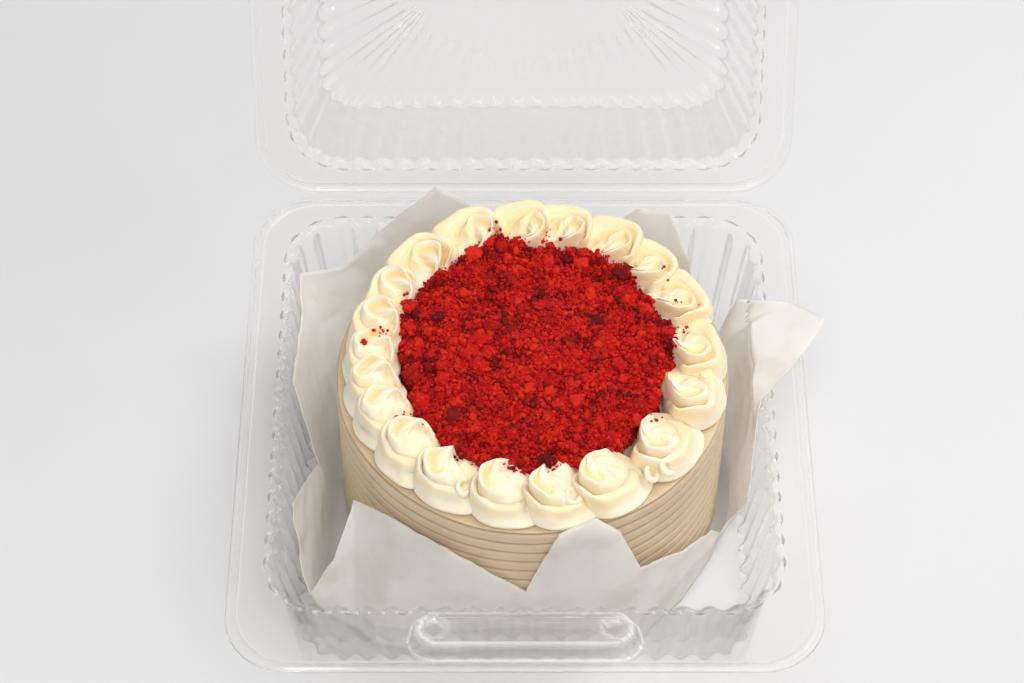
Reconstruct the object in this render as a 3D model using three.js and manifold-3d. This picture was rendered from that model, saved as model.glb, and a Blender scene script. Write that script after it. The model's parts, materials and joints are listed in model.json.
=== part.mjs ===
// Red velvet cake in its clear hinged box, which stands open.
// Millimetres, +Z up. The origin is the centre of the tray's flat underside, -Y is the front with
// the latch, and +Y the side of the hinge.

import * as THREE from 'three';
import { mergeVertices } from 'three/addons/utils/BufferGeometryUtils.js';
import Module from 'manifold-3d';

const wasm = await Module();
wasm.setup();

// Clear plastic sheet, and the gap that touching pieces keep.
const SHEET = 0.8;
const GAP = 0.3;

// Outlines seen from above: half width, front and back edge, and corner radius.
const FLANGE = { half: 114.5, front: -127.4, back: 109, radius: 25 };
const OPENING = { half: 98, front: -98.5, back: 95.5, radius: 22 };

// Tray: its height, how far its foot and its wall stand inside the opening, and its flutes.
const TRAY_HEIGHT = 52;
const TRAY_WALL_TOP = { inset: 0.5, z: 48.5 };
const TRAY_WALL_FOOT = { inset: 7.4, z: 2.6 };
const TRAY_FLOOR_INSET = 10;
const TRAY_FLUTES = { side: 15, corner: 3, depth: 3 };

// Lid: depth above its flange, the flat panel, and the ribs that run out to the panel's edge.
const LID_DEPTH = 48;
const LID_WALL_FOOT = { inset: 0.6, rise: 3.5 };
const LID_PANEL_INSET = 10;
const LID_CIRCLE_RADIUS = 62;
const LID_FLUTES = { side: 16, corner: 4, depth: 2.2 };
const RIB_DROP = 1.2;

// Hinge line on top of the tray's flange, and how far the lid is turned back from closed.
const HINGE = { y: 110, z: TRAY_HEIGHT };
const OPEN_ANGLE = 115;

// Latch bar across the front flange. The lid's bar is hollow and nests over it.
const LATCH = { y: -112.5, halfLength: 41, topHalf: 6.6, footHalf: 9.4, height: 8 };
const LATCH_CLEARANCE = 0.5;

// Cake: a combed cylinder.
const CAKE = { x: 3, y: -6.7, radius: 77.6, bottom: 1.8, top: 80, sides: 36 };
const COMB = { grooves: 12, pitch: 6.2, topGroove: 75, depth: 1.3, land: 0.8 };

// Piped shells round the top: the azimuth of each, and their common form.
const SHELL_AZIMUTHS = [
  6, 28, 46, 62, 80, 95, 114, 136, 153, 167, 181, 193, 206, 223, 241, 261, 279, 297, 322, 346,
];
const SHELL = { inner: 54.2, outer: 78, lobe: 4.2, height: 15.6, valley: 6.5, slices: 6 };

// Heap of crumbs inside the border.
const HEAP = { radius: 53.8, height: 12, edge: 2.8, rings: 16, roughness: 2.1, ragged: 2.6 };
const LUMPS = { count: 11, smallest: 3, largest: 5, raised: 0.1, strewn: 0.3 };

// Paper liner: its thickness, its height under the cake, where a flap that leaves the tray folds over
// its rim, how far up the others are bent, and the least turn in degrees from one foot to the next.
const PAPER = { thickness: 0.4, z: 1.3, rimX: 94.5, rimZ: 55.5, bend: 0.5, footStep: 4 };

// The liner's edge, anticlockwise from the notch at the front: each corner or dip as x, y, z, and
// the distance from the cake's axis at which the sheet below it leaves the floor.
const PAPER_EDGE = [
  [0.4, -87, 43, 80], [12.8, -86, 83, 81], [27, -83.5, 89, 84], [36, -83, 80, 86],
  [45, -81, 52, 87], [63, -62, 35, 83], [77, -42, 20, 82], [80, -35, 8, 81],
  [91, -34, 30, 83], [93, -16, 50, 83], [96.5, -4, 58, 83], [108, 8, 62, 83], [123, 28, 70, 83],
  [110, 44, 61, 84], [89, 48, 58, 86], [80, 52, 18, 88], [70, 68, 60, 90],
  [61, 77, 80, 92], [48, 79, 80, 90], [25, 85, 50, 86], [-5, 85, 46, 86],
  [-23, 81.5, 80, 86], [-37, 88, 85, 88], [-52, 84.5, 70, 92], [-66, 82, 55, 98],
  [-77, 72, 50, 100], [-94, 67, 52, 98], [-93.5, 40, 46, 88], [-95, 10, 52, 83],
  [-88, -6, 38, 83], [-84, -18, 33, 84], [-92.5, -50, 50, 92], [-90, -62, 30, 98],
  [-86, -73, 20, 104], [-75, -70, 42, 102], [-67, -57, 63, 100], [-48, -70, 65, 100],
  [-28.6, -82, 66, 88], [-13.4, -86, 55, 82],
];

// Colours and finishes.
const FINISH = {
  plastic: { color: 0xe8edef, roughness: 0.12, metalness: 0, transparent: true, opacity: 0.35 },
  paper: { color: 0xe6e1dc, roughness: 0.8, metalness: 0 },
  frosting: { color: 0xf4e4bf, roughness: 0.55, metalness: 0 },
  crumb: { color: 0xb3140f, roughness: 0.9, metalness: 0 },
};

const SEED = 7;
const TURN = 2 * Math.PI;
const radians = THREE.MathUtils.degToRad;
const mix = THREE.MathUtils.lerp;

// Repeatable random numbers from 0 to 1.
function seededRandom(seed) {
  let state = seed;
  return () => {
    state = (Math.imul(state, 1664525) + 1013904223) >>> 0;
    return state / 2 ** 32;
  };
}

function meshGeometry(points, triangles) {
  const geometry = new THREE.BufferGeometry();
  geometry.setAttribute('position', new THREE.Float32BufferAttribute(points.flatMap((p) => p.toArray()), 3));
  geometry.setIndex(triangles);
  return geometry;
}

// A closed body through rings of points that all run anticlockwise, seen from above. It starts at a
// centre point below the first ring and ends at one above the last.
function closedLoft(start, rings, end) {
  const count = rings[0].length;
  const triangles = [];
  const last = 1 + count * rings.length;
  for (let k = 0; k < count; k += 1) {
    const next = (k + 1) % count;
    triangles.push(0, 1 + next, 1 + k);
    for (let r = 0; r < rings.length - 1; r += 1) {
      const low = 1 + r * count;
      const high = low + count;
      triangles.push(low + k, low + next, high + next, low + k, high + next, high + k);
    }
    triangles.push(last - count + k, last - count + next, last);
  }
  return meshGeometry([start, ...rings.flat(), end], triangles);
}

function solidOf(geometry) {
  const bare = geometry.clone();
  bare.deleteAttribute('normal');
  bare.deleteAttribute('uv');
  const merged = mergeVertices(bare);
  return new wasm.Manifold(new wasm.Mesh({
    numProp: 3,
    vertProperties: new Float32Array(merged.attributes.position.array),
    triVerts: new Uint32Array(merged.index.array),
  }));
}

function geometryOf(solid) {
  const { vertProperties, triVerts } = solid.getMesh();
  const geometry = new THREE.BufferGeometry();
  geometry.setAttribute('position', new THREE.BufferAttribute(vertProperties, 3));
  geometry.setIndex(new THREE.BufferAttribute(triVerts, 1));
  return geometry;
}

function namedMesh(name, geometry, finish) {
  const mesh = new THREE.Mesh(geometry, new THREE.MeshStandardMaterial(finish));
  mesh.name = name;
  return mesh;
}

// One ring of a square with rounded corners, moved in by inset. Its points alternate in and out by
// half the flute depth, and dropping lowers every second one.
function squareRing(outline, { inset = 0, z, flutes, fluted = false, drop = 0 }) {
  const { half, front, back, radius } = outline;
  const perSide = 2 * flutes.side;
  const perCorner = 2 * flutes.corner;
  const round = Math.max(radius - inset / 2, 1);
  const centres = [
    [half - inset - round, front + inset + round], [half - inset - round, back - inset - round],
    [-half + inset + round, back - inset - round], [-half + inset + round, front + inset + round],
  ];
  const ring = [];
  for (let side = 0; side < 4; side += 1) {
    const [fromX, fromY] = centres[side];
    const [toX, toY] = centres[(side + 1) % 4];
    const facing = (side * TURN) / 4;
    for (let k = 0; k < perSide + perCorner; k += 1) {
      const along = Math.min(k / perSide, 1);
      const turned = facing + (Math.max(k - perSide, 0) / perCorner) * (TURN / 4);
      const second = ring.length % 2;
      const reach = round + (fluted ? (second ? -0.5 : 0.5) * flutes.depth : 0);
      ring.push(new THREE.Vector3(
        mix(fromX, toX, along) + reach * Math.cos(turned),
        mix(fromY, toY, along) + reach * Math.sin(turned),
        z - (second ? drop : 0),
      ));
    }
  }
  return ring;
}

// A low bar with round ends and sloping sides, from z up by its height, grown by a margin.
function latchBar(margin, z, height) {
  const steps = 10;
  const ring = (halfWidth, level) => {
    const points = [];
    for (const end of [1, -1]) {
      for (let k = 0; k <= steps; k += 1) {
        const angle = (end > 0 ? -TURN / 4 : TURN / 4) + (k / steps) * (TURN / 2);
        points.push(new THREE.Vector3(
          end * (LATCH.halfLength - LATCH.topHalf) + halfWidth * Math.cos(angle),
          LATCH.y + halfWidth * Math.sin(angle),
          level,
        ));
      }
    }
    return points;
  };
  const foot = ring(LATCH.footHalf + margin, z);
  const top = ring(LATCH.topHalf + margin, z + height);
  const middle = (level) => new THREE.Vector3(0, LATCH.y, level);
  return solidOf(closedLoft(middle(z), [foot, top], middle(z + height)));
}

function trayGeometry() {
  const flutes = TRAY_FLUTES;
  const wall = (level, skin) => squareRing(OPENING, {
    inset: level.inset + skin, z: level.z, flutes, fluted: true,
  });
  const flat = (outline, inset, z) => squareRing(outline, { inset, z, flutes });
  const sheet = solidOf(closedLoft(new THREE.Vector3(0, 0, 0), [
    flat(OPENING, TRAY_FLOOR_INSET, 0),
    wall(TRAY_WALL_FOOT, 0),
    wall(TRAY_WALL_TOP, 0),
    flat(OPENING, -SHEET, TRAY_HEIGHT - SHEET),
    flat(FLANGE, 0, TRAY_HEIGHT - SHEET),
    flat(FLANGE, 0, TRAY_HEIGHT),
    flat(OPENING, 0, TRAY_HEIGHT),
    wall(TRAY_WALL_TOP, SHEET),
    wall(TRAY_WALL_FOOT, SHEET),
    flat(OPENING, TRAY_FLOOR_INSET + SHEET / 2, SHEET),
  ], new THREE.Vector3(0, 0, SHEET)));
  const outside = latchBar(0, TRAY_HEIGHT - SHEET / 2, LATCH.height + SHEET / 2);
  const inside = latchBar(-SHEET, TRAY_HEIGHT - 2 * SHEET, LATCH.height + SHEET);
  return geometryOf(sheet.add(outside).subtract(inside));
}

// The lid in its closed place, on top of the tray's flange.
function closedLidGeometry() {
  const flutes = LID_FLUTES;
  const under = TRAY_HEIGHT + GAP;
  const top = under + LID_DEPTH;
  const centreY = (OPENING.front + OPENING.back) / 2;
  const flat = (outline, inset, z) => squareRing(outline, { inset, z, flutes });
  const fluted = (inset, z, drop) => squareRing(OPENING, { inset, z, flutes, fluted: true, drop });
  const circle = (z) => fluted(LID_PANEL_INSET, z, 0).map((p) => {
    const angle = Math.atan2(p.y - centreY, p.x);
    return new THREE.Vector3(
      LID_CIRCLE_RADIUS * Math.cos(angle),
      centreY + LID_CIRCLE_RADIUS * Math.sin(angle),
      z,
    );
  });
  const skin = (offset, z) => [
    circle(z),
    fluted(LID_PANEL_INSET + offset, z, RIB_DROP),
    fluted(LID_WALL_FOOT.inset + offset, under + LID_WALL_FOOT.rise, 0),
  ];
  const outer = skin(0, top);
  const inner = skin(SHEET, top - SHEET);
  const sheet = solidOf(closedLoft(new THREE.Vector3(0, centreY, top - SHEET), [
    ...inner,
    flat(OPENING, 0, under),
    flat(FLANGE, 0, under),
    flat(FLANGE, 0, under + SHEET),
    flat(OPENING, -SHEET, under + SHEET),
    ...outer.reverse(),
  ], new THREE.Vector3(0, centreY, top)));
  const margin = LATCH_CLEARANCE;
  const outside = latchBar(margin + SHEET, under + SHEET / 2, LATCH.height + margin + SHEET / 2);
  const inside = latchBar(margin, under - SHEET, LATCH.height + margin + SHEET / 2);
  return geometryOf(sheet.add(outside).subtract(inside));
}

// The sheet under the cake, folded up between the cake and the walls. The grid runs from the floor
// ring over a fold half way up to the edge. Where the edge doubles back, the feet still run on.
function paperRings() {
  const rings = [[], [], []];
  let turned = -TURN;
  for (const [x, y, z, footRadius] of PAPER_EDGE) {
    const edge = new THREE.Vector3(x, y, z);
    let azimuth = Math.atan2(y - CAKE.y, x - CAKE.x);
    if (azimuth < turned - TURN / 2) azimuth += TURN;
    turned = Math.max(azimuth, turned + radians(PAPER.footStep));
    const foot = new THREE.Vector3(
      CAKE.x + footRadius * Math.cos(turned),
      CAKE.y + footRadius * Math.sin(turned),
      PAPER.z,
    );
    const fold = foot.clone().lerp(edge, PAPER.bend);
    if (x > PAPER.rimX) {
      fold.x = PAPER.rimX;
      fold.z = PAPER.rimZ;
    }
    rings[0].push(foot);
    rings[1].push(fold);
    rings[2].push(edge);
  }
  return rings;
}

function paperGeometry() {
  const rings = paperRings();
  const count = rings[0].length;
  const centre = new THREE.Vector3(CAKE.x, CAKE.y, PAPER.z);
  const points = [centre, ...rings.flat()];
  const face = [];
  for (let k = 0; k < count; k += 1) {
    const next = (k + 1) % count;
    face.push([0, 1 + k, 1 + next]);
    for (let r = 0; r < rings.length - 1; r += 1) {
      const low = 1 + r * count;
      const high = low + count;
      face.push([low + k, high + next, low + next], [low + k, high + k, high + next]);
    }
  }
  return thickened(points, face, count);
}

// A closed body from a sheet whose last points are its edge: the sheet's two sides, moved apart by the
// paper's thickness, and a strip along the edge.
function thickened(points, face, edgeCount) {
  const sheet = meshGeometry(points, face.flat());
  sheet.computeVertexNormals();
  const normal = (i) => new THREE.Vector3().fromBufferAttribute(sheet.attributes.normal, i);
  const side = (sign) => points.map((p, i) => p.clone().addScaledVector(normal(i), sign * PAPER.thickness / 2));
  const upper = points.length;
  const edge = upper - edgeCount;
  const triangles = face.flatMap(([a, b, c]) => [c, b, a, upper + a, upper + b, upper + c]);
  for (let k = 0; k < edgeCount; k += 1) {
    const here = edge + k;
    const next = edge + ((k + 1) % edgeCount);
    triangles.push(here, next, upper + next, here, upper + next, upper + here);
  }
  return meshGeometry([...side(-1), ...side(1)], triangles);
}

function onCake(azimuth, radius, z) {
  return new THREE.Vector3(
    CAKE.x + radius * Math.cos(azimuth),
    CAKE.y + radius * Math.sin(azimuth),
    z,
  );
}

function cakeGeometry() {
  const profile = [[CAKE.radius - 3, CAKE.bottom], [CAKE.radius - 1, CAKE.bottom + 1.2]];
  for (let k = COMB.grooves - 1; k >= 0; k -= 1) {
    const groove = COMB.topGroove - k * COMB.pitch;
    profile.push([CAKE.radius - COMB.depth, groove], [CAKE.radius, groove + COMB.land]);
  }
  profile.push([CAKE.radius - 1.2, CAKE.top - 1.4], [CAKE.radius - 3.6, CAKE.top]);
  const ring = ([radius, z]) => Array.from(
    { length: CAKE.sides },
    (_, k) => onCake((k / CAKE.sides) * TURN, radius, z),
  );
  return closedLoft(onCake(0, 0, CAKE.bottom), profile.map(ring), onCake(0, 0, CAKE.top));
}

// Section through a piped shell, as distance from the cake's axis and height above its top. Across
// runs from -1 to 1: the outer lobe is fullest in the middle, a valley lies behind its crest, and a
// tongue rises from it towards the crumbs. At both sides the valley closes up to a ridge.
function shellSection(across) {
  const { inner, outer, lobe, height, valley } = SHELL;
  const side = across * across;
  const reach = outer - lobe * side;
  const crest = height * (1 - 0.14 * side);
  const hollow = mix(valley, crest - 2, side);
  const tongue = mix(height - 1.5, crest - 3.5, side);
  return [
    [inner, 0], [reach - 3.2, 0], [reach, 3.6], [reach - 1.4, 0.62 * crest], [reach - 6, crest],
    [reach - 10.5, hollow], [inner + 8, mix(hollow, tongue, 0.55)], [inner + 4.6, tongue], [inner, 3.4],
  ];
}

function shellGeometry(index) {
  const count = SHELL_AZIMUTHS.length;
  const here = SHELL_AZIMUTHS[index];
  const before = SHELL_AZIMUTHS[(index + count - 1) % count] - (index === 0 ? 360 : 0);
  const after = SHELL_AZIMUTHS[(index + 1) % count] + (index === count - 1 ? 360 : 0);
  const slack = GAP / 2 / SHELL.inner;
  const low = radians((before + here) / 2) + slack;
  const high = radians((here + after) / 2) - slack;
  const rings = [];
  for (let k = 0; k <= SHELL.slices; k += 1) {
    const azimuth = mix(low, high, k / SHELL.slices);
    const section = shellSection((2 * k) / SHELL.slices - 1);
    rings.push(section.map(([radius, z]) => onCake(azimuth, radius, CAKE.top + GAP + z)));
  }
  const middle = (ring) => ring.reduce((sum, p) => sum.add(p), new THREE.Vector3()).divideScalar(ring.length);
  return closedLoft(middle(rings[0]), rings.map((ring) => [...ring].reverse()), middle(rings.at(-1)));
}

function heapHeight(radius) {
  const inward = 1 - Math.min(radius / HEAP.radius, 1) ** 2;
  return HEAP.edge + (HEAP.height - HEAP.edge) * inward ** 0.7;
}

// A low dome whose surface is as rough as crumbs lie. Ring k of its points has 6k of them, so that
// all its faces are about as large as a crumb.
function roughDome(random, base) {
  const points = [onCake(0, 0, base + heapHeight(0))];
  const triangles = [];
  const first = (ring) => 1 + 3 * ring * (ring - 1);
  for (let ring = 1; ring <= HEAP.rings; ring += 1) {
    const last = ring === HEAP.rings;
    for (let k = 0; k < 6 * ring; k += 1) {
      const radius = (ring / HEAP.rings) * HEAP.radius - (last ? HEAP.ragged * random() : 0);
      const height = heapHeight(radius) + HEAP.roughness * (2 * random() - 1);
      points.push(onCake((k / (6 * ring)) * TURN, radius, base + height));
    }
    const outside = (k) => first(ring) + (k % (6 * ring));
    const inside = (k) => (ring === 1 ? 0 : first(ring - 1) + (k % (6 * (ring - 1))));
    for (let sector = 0; sector < 6; sector += 1) {
      for (let k = 0; k < ring; k += 1) {
        const near = inside(sector * (ring - 1) + k);
        const far = outside(sector * ring + k);
        const next = outside(sector * ring + k + 1);
        triangles.push(near, far, next);
        if (k < ring - 1) triangles.push(near, next, inside(sector * (ring - 1) + k + 1));
      }
    }
  }
  const rim = points.slice(first(HEAP.rings));
  const under = points.length;
  points.push(...rim.map((p) => new THREE.Vector3(p.x, p.y, base)), onCake(0, 0, base));
  rim.forEach((_, k) => {
    const next = (k + 1) % rim.length;
    const above = first(HEAP.rings);
    triangles.push(under + k, under + next, above + next, under + k, above + next, above + k);
    triangles.push(points.length - 1, under + next, under + k);
  });
  return meshGeometry(points, triangles);
}

// The heap: the dome, with lumps the size of the larger crumbs set evenly over it.
function crumbGeometry() {
  const random = seededRandom(SEED);
  const base = CAKE.top + GAP;
  const solids = [solidOf(roughDome(random, base))];
  const goldenAngle = Math.PI * (3 - Math.sqrt(5));
  for (let k = 0; k < LUMPS.count; k += 1) {
    const size = mix(LUMPS.smallest, LUMPS.largest, random());
    const radius = (HEAP.radius - size) * Math.sqrt((k + 0.5) / LUMPS.count);
    const lump = new THREE.IcosahedronGeometry(size, 0);
    lump.rotateX(random() * TURN).rotateZ(random() * TURN);
    lump.scale(1, 1, 0.8);
    const azimuth = k * goldenAngle + LUMPS.strewn * (random() - 0.5);
    const place = onCake(azimuth, radius, base + heapHeight(radius) + LUMPS.raised * size);
    solids.push(solidOf(lump.translate(place.x, place.y, place.z)));
  }
  return geometryOf(wasm.Manifold.union(solids));
}

const model = new THREE.Group();
model.add(
  namedMesh('tray', trayGeometry(), FINISH.plastic),
  namedMesh('paper', paperGeometry(), FINISH.paper),
  namedMesh('cake', cakeGeometry(), FINISH.frosting),
  namedMesh('crumbs', crumbGeometry(), FINISH.crumb),
);
SHELL_AZIMUTHS.forEach((_, index) => {
  const name = `shell_${String(index + 1).padStart(2, '0')}`;
  model.add(namedMesh(name, shellGeometry(index), FINISH.frosting));
});

// The lid hangs on the hinge line and is turned back from its closed place.
const hinge = new THREE.Group();
hinge.position.set(0, HINGE.y, HINGE.z);
hinge.rotation.x = -radians(OPEN_ANGLE);
const lid = namedMesh('lid', closedLidGeometry(), FINISH.plastic);
lid.position.set(0, -HINGE.y, -HINGE.z);
hinge.add(lid);
model.add(hinge);

export default model;
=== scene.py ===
"""Red velvet cake in its clear hinged box: the looks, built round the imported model.

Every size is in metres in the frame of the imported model: +Z up, the origin at the centre of the
tray's flat underside, -Y the front with the latch, +Y the side of the hinge.
"""

import json
import logging
import math
import random
from collections.abc import Callable, Iterable, Sequence
from dataclasses import dataclass, field
from enum import Enum
from functools import cache

import bmesh
import bpy
import numpy as np
from mathutils import Euler, Matrix, Vector, noise
from mathutils.bvhtree import BVHTree

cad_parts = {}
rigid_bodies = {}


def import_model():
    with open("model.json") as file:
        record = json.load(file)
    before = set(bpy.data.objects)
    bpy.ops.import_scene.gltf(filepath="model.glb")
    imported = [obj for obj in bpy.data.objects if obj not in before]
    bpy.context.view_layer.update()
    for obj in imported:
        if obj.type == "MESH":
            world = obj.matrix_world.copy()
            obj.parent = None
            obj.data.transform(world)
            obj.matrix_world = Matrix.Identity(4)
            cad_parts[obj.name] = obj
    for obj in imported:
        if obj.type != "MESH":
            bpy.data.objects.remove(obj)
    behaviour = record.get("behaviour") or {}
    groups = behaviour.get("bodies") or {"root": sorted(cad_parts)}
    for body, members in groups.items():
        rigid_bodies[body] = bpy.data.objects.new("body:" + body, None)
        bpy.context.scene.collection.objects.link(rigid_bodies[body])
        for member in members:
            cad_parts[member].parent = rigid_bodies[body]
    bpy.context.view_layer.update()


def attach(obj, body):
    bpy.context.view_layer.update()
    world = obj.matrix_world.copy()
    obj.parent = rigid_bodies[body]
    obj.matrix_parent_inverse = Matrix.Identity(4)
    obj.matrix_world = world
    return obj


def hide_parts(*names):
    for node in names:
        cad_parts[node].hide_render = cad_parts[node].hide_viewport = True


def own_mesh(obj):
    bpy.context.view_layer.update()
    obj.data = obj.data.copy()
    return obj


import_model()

log = logging.getLogger("cake_box")

MM = 0.001
TURN = 2 * math.pi

Colour = tuple[float, float, float, float]


class Body(Enum):
    """The two bodies that the pieces ride on."""

    BOX = "box"
    LID = "lid"


class Slot(Enum):
    """The record's material slots."""

    PLASTIC = "clear_plastic"
    PAPER = "paper"
    FROSTING = "frosting"
    CRUMB = "crumb"


# Mesh helpers


def smoothstep(values: np.ndarray | float) -> np.ndarray | float:
    """Eases 0..1 in and out, and clamps what lies outside."""
    t = np.clip(values, 0.0, 1.0)
    return t * t * (3 - 2 * t)


def roughly(points: np.ndarray, wavelength: float, seed: int) -> np.ndarray:
    """Smooth repeatable unevenness from -1 to 1, from noise of one wavelength.

    Args:
        points: Places as rows of x, y, z.
        wavelength: Distance over which the value changes.
        seed: Picks another part of the noise.

    Returns:
        One value for each place.
    """
    shift = Vector((seed * 7.31, seed * 3.17, seed * 5.93))
    return np.array([noise.noise(Vector(p) / wavelength + shift) for p in points])


def granular(points: np.ndarray, size: float, seed: int) -> np.ndarray:
    """Relief like packed round grains of one size: 1 on top of each, 0 between them."""
    shift = Vector((seed * 7.31, seed * 3.17, seed * 5.93))
    nearest = np.array([noise.voronoi(Vector(p) / size + shift)[0][0] for p in points])
    return np.sqrt(np.clip(1 - (nearest / 0.75) ** 2, 0, 1))


def grid_faces(rows: int, columns: int, start: int = 0, around: bool = True) -> np.ndarray:
    """Quads between rows of points, each row running round or ending at its last point.

    Args:
        rows: Number of rows.
        columns: Points in a row.
        start: Index of the first point.
        around: True where the last point of a row joins its first.

    Returns:
        Quads as rows of four indices.
    """
    k = np.arange(columns if around else columns - 1)
    ahead = (k + 1) % columns
    low = start + columns * np.arange(rows - 1)[:, None]
    high = low + columns
    return np.stack([low + k, low + ahead, high + ahead, high + k], axis=-1).reshape(-1, 4)


def fan_faces(ring: np.ndarray, centre: int, flip: bool = False) -> np.ndarray:
    """Triangles from a ring of points to one point."""
    ahead = np.roll(ring, -1)
    middle = np.full_like(ring, centre)
    return np.stack([ahead, ring, middle] if flip else [ring, ahead, middle], axis=-1)


def new_mesh(name: str, points: np.ndarray, faces: Iterable[Sequence[int]]) -> bpy.types.Object:
    """A smooth-shaded mesh object at the origin.

    Args:
        name: Name of the object and of its mesh.
        points: Places in metres.
        faces: Corner indices of each face.

    Returns:
        The linked object.
    """
    mesh = bpy.data.meshes.new(name)
    mesh.from_pydata(np.asarray(points, float).tolist(), [], [list(map(int, f)) for f in faces])
    mesh.validate()
    mesh.shade_smooth()
    obj = bpy.data.objects.new(name, mesh)
    bpy.context.scene.collection.objects.link(obj)
    return obj


def add_values(obj: bpy.types.Object, name: str, values: np.ndarray) -> None:
    """Stores one number or one vector for each point of a mesh."""
    kind = "FLOAT" if np.ndim(values) == 1 else "FLOAT_VECTOR"
    layer = obj.data.attributes.new(name, kind, "POINT")
    layer.data.foreach_set("value" if kind == "FLOAT" else "vector", np.ravel(values))


def baked(obj: bpy.types.Object) -> bpy.types.Object:
    """The object with its modifiers turned into plain mesh."""
    evaluated = obj.evaluated_get(bpy.context.evaluated_depsgraph_get())
    mesh = bpy.data.meshes.new_from_object(evaluated)
    obj.modifiers.clear()
    obj.data = mesh
    return obj


def remove(objects: Iterable[bpy.types.Object]) -> None:
    """Deletes helper objects."""
    for obj in list(objects):
        bpy.data.objects.remove(obj, do_unlink=True)


def surface_tree(objects: Iterable[bpy.types.Object]) -> BVHTree:
    """One search tree over the faces of several meshes."""
    points, faces = [], []
    for obj in objects:
        start = len(points)
        points += [v.co.copy() for v in obj.data.vertices]
        faces += [[start + i for i in face.vertices] for face in obj.data.polygons]
    return BVHTree.FromPolygons(points, faces)


def grown(obj: bpy.types.Object, tree: bpy.types.NodeTree, **values: object) -> bpy.types.Object:
    """Runs an object through Geometry Nodes and keeps the result as plain mesh.

    Args:
        obj: What the nodes work on.
        tree: The node tree.
        values: The tree's inputs, with an underscore for each space in their names.

    Returns:
        The same object with its new mesh.
    """
    modifier = obj.modifiers.new(tree.name, "NODES")
    modifier.node_group = tree
    sockets = {
        item.name: item.identifier
        for item in tree.interface.items_tree
        if item.item_type == "SOCKET" and item.in_out == "INPUT"
    }
    for name, value in values.items():
        modifier[sockets[name.replace("_", " ")]] = value
    return baked(obj)


def walled(obj: bpy.types.Object, thickness: float, offset: float) -> bpy.types.Object:
    """Gives an open sheet its thickness, inwards at offset -1 and to both sides at 0."""
    wall = obj.modifiers.new("wall", "SOLIDIFY")
    wall.thickness, wall.offset = thickness, offset
    return baked(obj)


class Tree:
    """Short calls that fill a node tree."""

    def __init__(self, tree: bpy.types.NodeTree) -> None:
        """Holds the tree that is filled."""
        self.tree = tree

    @classmethod
    def group(cls, name: str, kind: str, inputs: Sequence[tuple], outputs: Sequence[tuple]) -> "Tree":
        """A new node group with named sockets.

        Args:
            name: Name of the group.
            kind: ShaderNodeTree or GeometryNodeTree.
            inputs: Name, socket type and default value of each input.
            outputs: Name and socket type of each output.

        Returns:
            The tree, with its input and output nodes made.
        """
        tree = bpy.data.node_groups.new(name, kind)
        for label, socket, *default in inputs:
            made = tree.interface.new_socket(label, in_out="INPUT", socket_type=socket)
            if default:
                made.default_value = default[0]
        for label, socket in outputs:
            tree.interface.new_socket(label, in_out="OUTPUT", socket_type=socket)
        filled = cls(tree)
        filled.start = tree.nodes.new("NodeGroupInput")
        filled.end = tree.nodes.new("NodeGroupOutput")
        return filled

    def add(self, kind: str, inputs: dict | None = None, **settings: object) -> bpy.types.Node:
        """A new node.

        Args:
            kind: The node's bl_idname.
            inputs: Value or source socket of each named or numbered input.
            settings: The node's own properties.

        Returns:
            The node.
        """
        node = self.tree.nodes.new(kind)
        for name, value in settings.items():
            setattr(node, name, value)
        for name, value in (inputs or {}).items():
            self.feed(node.inputs[name], value)
        return node

    def feed(self, socket: bpy.types.NodeSocket, value: object) -> None:
        """Links a socket to its source, or sets its value."""
        if isinstance(value, bpy.types.NodeSocket):
            self.link(value, socket)
        else:
            socket.default_value = value

    def link(self, source: bpy.types.NodeSocket, target: bpy.types.NodeSocket) -> None:
        """Joins two sockets."""
        self.tree.links.new(source, target)

    def math(self, operation: str, first: object, second: object = 0.0) -> bpy.types.NodeSocket:
        """The result of a Math node."""
        return self.add("ShaderNodeMath", {0: first, 1: second}, operation=operation).outputs[0]

    def ramp(self, source: bpy.types.NodeSocket, low: object, high: object) -> bpy.types.NodeSocket:
        """A mask that rises from 0 at low to 1 at high."""
        node = self.add("ShaderNodeMapRange", {0: source, 1: low, 2: high})
        node.interpolation_type = "SMOOTHSTEP"
        return node.outputs[0]

    def mix(self, factor: object, first: object, second: object) -> bpy.types.NodeSocket:
        """A mix of two colours."""
        node = self.add("ShaderNodeMix", data_type="RGBA")
        for number, value in zip((0, 6, 7), (factor, first, second)):
            self.feed(node.inputs[number], value)
        return node.outputs[2]

    def blend(self, factor: object, first: bpy.types.Node, second: bpy.types.Node) -> bpy.types.Node:
        """A mix of two shaders."""
        node = self.add("ShaderNodeMixShader", {0: factor})
        self.link(first.outputs[0], node.inputs[1])
        self.link(second.outputs[0], node.inputs[2])
        return node

    def dress(self, geometry: bpy.types.NodeSocket, material: bpy.types.NodeSocket) -> None:
        """Ends a Geometry Nodes tree in plain mesh with its material."""
        plain = self.add("GeometryNodeRealizeInstances", {"Geometry": geometry})
        dressed = self.add("GeometryNodeSetMaterial", {"Geometry": plain.outputs[0], "Material": material})
        self.link(dressed.outputs[0], self.end.inputs["Geometry"])


# Finishes


def rgba(red: float, green: float, blue: float) -> Colour:
    """A linear colour from its screen values of 0 to 255."""

    def linear(value: float) -> float:
        share = value / 255
        return share / 12.92 if share <= 0.04045 else ((share + 0.055) / 1.055) ** 2.4

    return linear(red), linear(green), linear(blue), 1.0


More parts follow.
